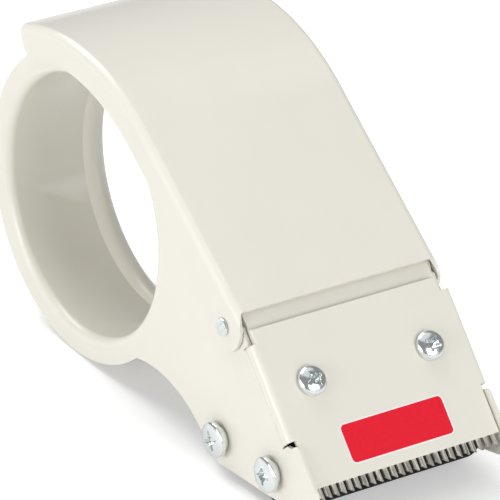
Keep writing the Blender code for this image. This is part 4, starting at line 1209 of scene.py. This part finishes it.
def build_guide_roller():
    """Ribbed nylon roller with rounded rib edges."""
    start = SHEET + SEAT_GAP + GUIDE_WASHER + SEAT_GAP
    length = FRAME_WIDTH - 2 * start
    ribs = int((length - GUIDE_RIB) / GUIDE_RIB_PITCH)
    pitch = (length - GUIDE_RIB) / ribs
    outer = []
    for i in range(ribs + 1):
        low = i * pitch
        outer += [(GUIDE_RADIUS, low), (GUIDE_RADIUS, low + GUIDE_RIB)]
        if i < ribs:
            outer += [(GUIDE_RADIUS - GUIDE_GROOVE, low + GUIDE_RIB + GUIDE_GROOVE),
                      (GUIDE_RADIUS - GUIDE_GROOVE, low + pitch - GUIDE_GROOVE)]
    bore = AXLE_RADIUS + HOLE_GAP
    item = turn_profile("guide_roller_ribbed", place(REAR_AXLE, start), ACROSS_AXIS, UP,
                        [(bore, 0), *outer, (bore, length)], GUIDE_SIDES)
    soften(item, GUIDE_ROUNDING, angle=35)
    finish_piece(item, "guide_roller", pale_nylon(), "nylon", "guide_roller")


def finish_plain_nodes(sizes):
    """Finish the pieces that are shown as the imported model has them."""
    plated = ("front_axle", "rear_axle", "press_roller_core", "guide_washer_near",
              "guide_washer_far")
    moulded = ("roller_bush_near", "roller_bush_far")
    for names, finish in ((plated, bright_zinc(sizes.zinc_colour)), (moulded, pale_nylon())):
        for name in names:
            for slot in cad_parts[name].material_slots:
                slot.material = finish


# The label

def build_label(sizes):
    """Blank sticker with rounded corners and a pale border."""
    item = start_piece("blank_label")
    length, width = sizes.label_length, sizes.label_width
    rise = WEB_RISE + LABEL_LIFT
    corners = []
    for x, y, start in ((1, 1, 0), (-1, 1, pi / 2), (-1, -1, pi), (1, -1, 3 * pi / 2)):
        centre = (x * (width / 2 - LABEL_CORNER), y * (length / 2 - LABEL_CORNER))
        corners += arc(centre, LABEL_CORNER, start, start + pi / 2, steps=8)
    trace([on_slope(LABEL_ALONG + y, rise, LABEL_ACROSS + x) for x, y in corners])
    bpy.ops.mesh.edge_face_add()
    extrude(OFF_SLOPE * LABEL_THICKNESS)
    bpy.ops.mesh.inset(thickness=sizes.label_border, depth=0)
    mesh = open_mesh()
    for face in mesh.faces:
        face.material_index = 0 if face.select else 1
    keep_mesh()
    close_solid()
    bpy.ops.object.shade_smooth_by_angle(angle=radians(30))
    finish_piece(item, "frame", label_ink("label_ink", sizes.label_colour), None)
    item.data.materials.append(label_ink("label_border", sizes.border_colour))


# The stage

def build_camera(scene):
    """Camera where the photograph was taken from."""
    up = VIEW_RIGHT.cross(VIEW_AHEAD).normalized()
    turned = Matrix((VIEW_RIGHT, up, -VIEW_AHEAD)).transposed().to_4x4()
    turned.translation = place((0, 0), 0) + VIEW_PLACE
    bpy.ops.object.camera_add()
    camera = bpy.context.object
    camera.name = "camera"
    camera.matrix_world = turned
    camera.data.lens = VIEW_LENS
    camera.data.sensor_width = 36
    camera.data.clip_start = 0.05
    camera.data.clip_end = 20
    scene.camera = camera


def add_lamp(name, location, size, power):
    """Soft rectangular lamp that looks at the middle of the part."""
    bpy.ops.object.light_add(type="AREA", location=location)
    lamp = bpy.context.object
    lamp.name = name
    lamp.data.shape = "RECTANGLE"
    lamp.data.size, lamp.data.size_y = size
    lamp.data.energy = power
    lamp.rotation_euler = (LAMP_AIM - Vector(location)).to_track_quat("-Z", "Y").to_euler()


def build_floor():
    """Plain pale floor that keeps the shadow and looks white to the camera."""
    bpy.ops.object.select_all(action="DESELECT")
    bpy.ops.mesh.primitive_plane_add(size=FLOOR_SIZE, location=(0, 0, -FLOOR_DROP))
    floor = bpy.context.object
    floor.name = "studio_floor"
    made, tree, shader = nodes_of("studio_floor", {
        "Base Color": FLOOR_COLOUR, "Roughness": 0.9, "Emission Color": WHITE})
    places = tree.nodes.new("ShaderNodeTexCoord")
    reach = tree.nodes.new("ShaderNodeVectorMath")
    reach.operation = "LENGTH"
    glow = tree.nodes.new("ShaderNodeMath")
    glow.operation = "MULTIPLY"
    seen = tree.nodes.new("ShaderNodeLightPath").outputs["Is Camera Ray"]
    tree.links.new(places.outputs["Object"], reach.inputs[0])
    tree.links.new(spread(tree, reach.outputs["Value"], *FLOOR_GLOW, *FLOOR_GLOW_REACH),
                   glow.inputs[0])
    tree.links.new(seen, glow.inputs[1])
    tree.links.new(glow.outputs["Value"], shader.inputs["Emission Strength"])
    floor.data.materials.append(made)


def build_world(scene):
    """White surroundings, plain to the camera and softer as light."""
    world = bpy.data.worlds.new("studio")
    scene.world = world
    world.use_nodes = True
    tree = world.node_tree
    background = set_sockets(tree.nodes["Background"], {"Color": WHITE})
    seen = tree.nodes.new("ShaderNodeLightPath").outputs["Is Camera Ray"]
    tree.links.new(spread(tree, seen, SURROUND_LIGHT, 1.0, start=0, end=1),
                   background.inputs["Strength"])


def build_stage(scene):
    scene.view_settings.view_transform = "Standard"
    bpy.ops.object.select_all(action="DESELECT")
    build_camera(scene)
    for lamp in LAMPS:
        add_lamp(*lamp)
    build_world(scene)
    build_floor()


# The add-on

class DispenserSizes(bpy.types.PropertyGroup):
    """Sizes and colours that a user would change."""

    paint_colour: FloatVectorProperty(
        name="Paint", description="Colour of the enamel",
        subtype="COLOR", size=3, min=0, max=1, default=(0.80, 0.78, 0.70))
    zinc_colour: FloatVectorProperty(
        name="Zinc", description="Colour of the plated screws and axles",
        subtype="COLOR", size=3, min=0, max=1, default=(0.86, 0.90, 0.90))
    steel_colour: FloatVectorProperty(
        name="Blade steel", description="Colour of the blade",
        subtype="COLOR", size=3, min=0, max=1, default=(0.62, 0.59, 0.52))
    label_colour: FloatVectorProperty(
        name="Label", description="Colour of the blank label",
        subtype="COLOR", size=3, min=0, max=1, default=(0.80, 0.016, 0.035))
    border_colour: FloatVectorProperty(
        name="Label border", description="Colour of the label's border",
        subtype="COLOR", size=3, min=0, max=1, default=(0.88, 0.87, 0.86))
    edge_rounding: FloatProperty(
        name="Edge rounding", description="Radius of the pressed sheets' edges",
        subtype="DISTANCE", unit="LENGTH", min=0.05 * MM, max=0.3 * MM, default=0.2 * MM)
    tooth_pitch: FloatProperty(
        name="Tooth pitch", description="Distance between the blade's teeth",
        subtype="DISTANCE", unit="LENGTH", min=1 * MM, max=5 * MM, default=2.3 * MM)
    label_length: FloatProperty(
        name="Label length", description="Size of the label down the slope",
        subtype="DISTANCE", unit="LENGTH", min=3 * MM, max=14 * MM, default=11.3 * MM)
    label_width: FloatProperty(
        name="Label width", description="Size of the label across the web",
        subtype="DISTANCE", unit="LENGTH", min=10 * MM, max=50 * MM, default=32.9 * MM)
    label_border: FloatProperty(
        name="Label border width", description="Width of the pale border",
        subtype="DISTANCE", unit="LENGTH", min=0.1 * MM, max=2 * MM, default=0.45 * MM)


class DISPENSER_OT_frame(bpy.types.Operator):
    """Press the frame: near plate with its drum, far cheek and the web between them"""

    bl_idname = "dispenser.frame"
    bl_label = "Frame"

    def execute(self, context):
        build_frame(context.scene.dispenser_sizes)
        return {"FINISHED"}


class DISPENSER_OT_cover(bpy.types.Operator):
    """Press the hinged cover with its flanges and ears"""

    bl_idname = "dispenser.cover"
    bl_label = "Cover"

    def execute(self, context):
        build_cover(context.scene.dispenser_sizes)
        return {"FINISHED"}


class DISPENSER_OT_bracket(bpy.types.Operator):
    """Press the inner bracket that clamps the blade"""

    bl_idname = "dispenser.bracket"
    bl_label = "Inner bracket"

    def execute(self, context):
        build_bracket(context.scene.dispenser_sizes)
        return {"FINISHED"}


class DISPENSER_OT_hinge(bpy.types.Operator):
    """Make the riveted hinge pin and the cover's spring"""

    bl_idname = "dispenser.hinge"
    bl_label = "Hinge pin and spring"

    def execute(self, context):
        build_hinge_pin(context.scene.dispenser_sizes)
        build_spring()
        return {"FINISHED"}


class DISPENSER_OT_blade(bpy.types.Operator):
    """Cut the toothed blade"""

    bl_idname = "dispenser.blade"
    bl_label = "Blade"

    def execute(self, context):
        build_blade(context.scene.dispenser_sizes)
        return {"FINISHED"}


class DISPENSER_OT_fasteners(bpy.types.Operator):
    """Make the screws, lock washers and nuts"""

    bl_idname = "dispenser.fasteners"
    bl_label = "Screws, washers and nuts"

    def execute(self, context):
        build_blade_fasteners(context.scene.dispenser_sizes)
        build_axle_screws(context.scene.dispenser_sizes)
        return {"FINISHED"}


class DISPENSER_OT_rollers(bpy.types.Operator):
    """Make the press roller's tyre and the guide roller, and finish the pieces inside them"""

    bl_idname = "dispenser.rollers"
    bl_label = "Rollers"

    def execute(self, context):
        build_press_roller()
        build_guide_roller()
        finish_plain_nodes(context.scene.dispenser_sizes)
        return {"FINISHED"}


class DISPENSER_OT_label(bpy.types.Operator):
    """Stick the blank label on the web"""

    bl_idname = "dispenser.label"
    bl_label = "Label"

    def execute(self, context):
        build_label(context.scene.dispenser_sizes)
        return {"FINISHED"}


class DISPENSER_OT_stage(bpy.types.Operator):
    """Set up the floor, the surroundings, the lamps and the camera"""

    bl_idname = "dispenser.stage"
    bl_label = "Stage"

    def execute(self, context):
        build_stage(context.scene)
        return {"FINISHED"}


PIECE_OPERATORS = (DISPENSER_OT_frame, DISPENSER_OT_cover, DISPENSER_OT_bracket,
                   DISPENSER_OT_hinge, DISPENSER_OT_blade, DISPENSER_OT_fasteners,
                   DISPENSER_OT_rollers, DISPENSER_OT_label, DISPENSER_OT_stage)


class DISPENSER_PT_panel(bpy.types.Panel):
    """Sizes, colours and the pieces, in the order in which they are made"""

    bl_idname = "DISPENSER_PT_panel"
    bl_label = "Tape dispenser"
    bl_space_type = "VIEW_3D"
    bl_region_type = "UI"
    bl_category = "Dispenser"

    def draw(self, context):
        sizes = context.scene.dispenser_sizes
        for name in sizes.bl_rna.properties.keys():
            if name not in {"rna_type", "name"}:
                self.layout.prop(sizes, name)
        for operator in PIECE_OPERATORS:
            self.layout.operator(operator.bl_idname)


CLASSES = (DispenserSizes, *PIECE_OPERATORS, DISPENSER_PT_panel)


def register():
    for item in CLASSES:
        bpy.utils.register_class(item)
    bpy.types.Scene.dispenser_sizes = PointerProperty(type=DispenserSizes)


def unregister():
    del bpy.types.Scene.dispenser_sizes
    for item in reversed(CLASSES):
        bpy.utils.unregister_class(item)


def main():
    register()
    bpy.ops.dispenser.frame()
    bpy.ops.dispenser.cover()
    bpy.ops.dispenser.bracket()
    bpy.ops.dispenser.hinge()
    bpy.ops.dispenser.blade()
    bpy.ops.dispenser.fasteners()
    bpy.ops.dispenser.rollers()
    bpy.ops.dispenser.label()
    bpy.ops.dispenser.stage()


if __name__ == "__main__":
    main()
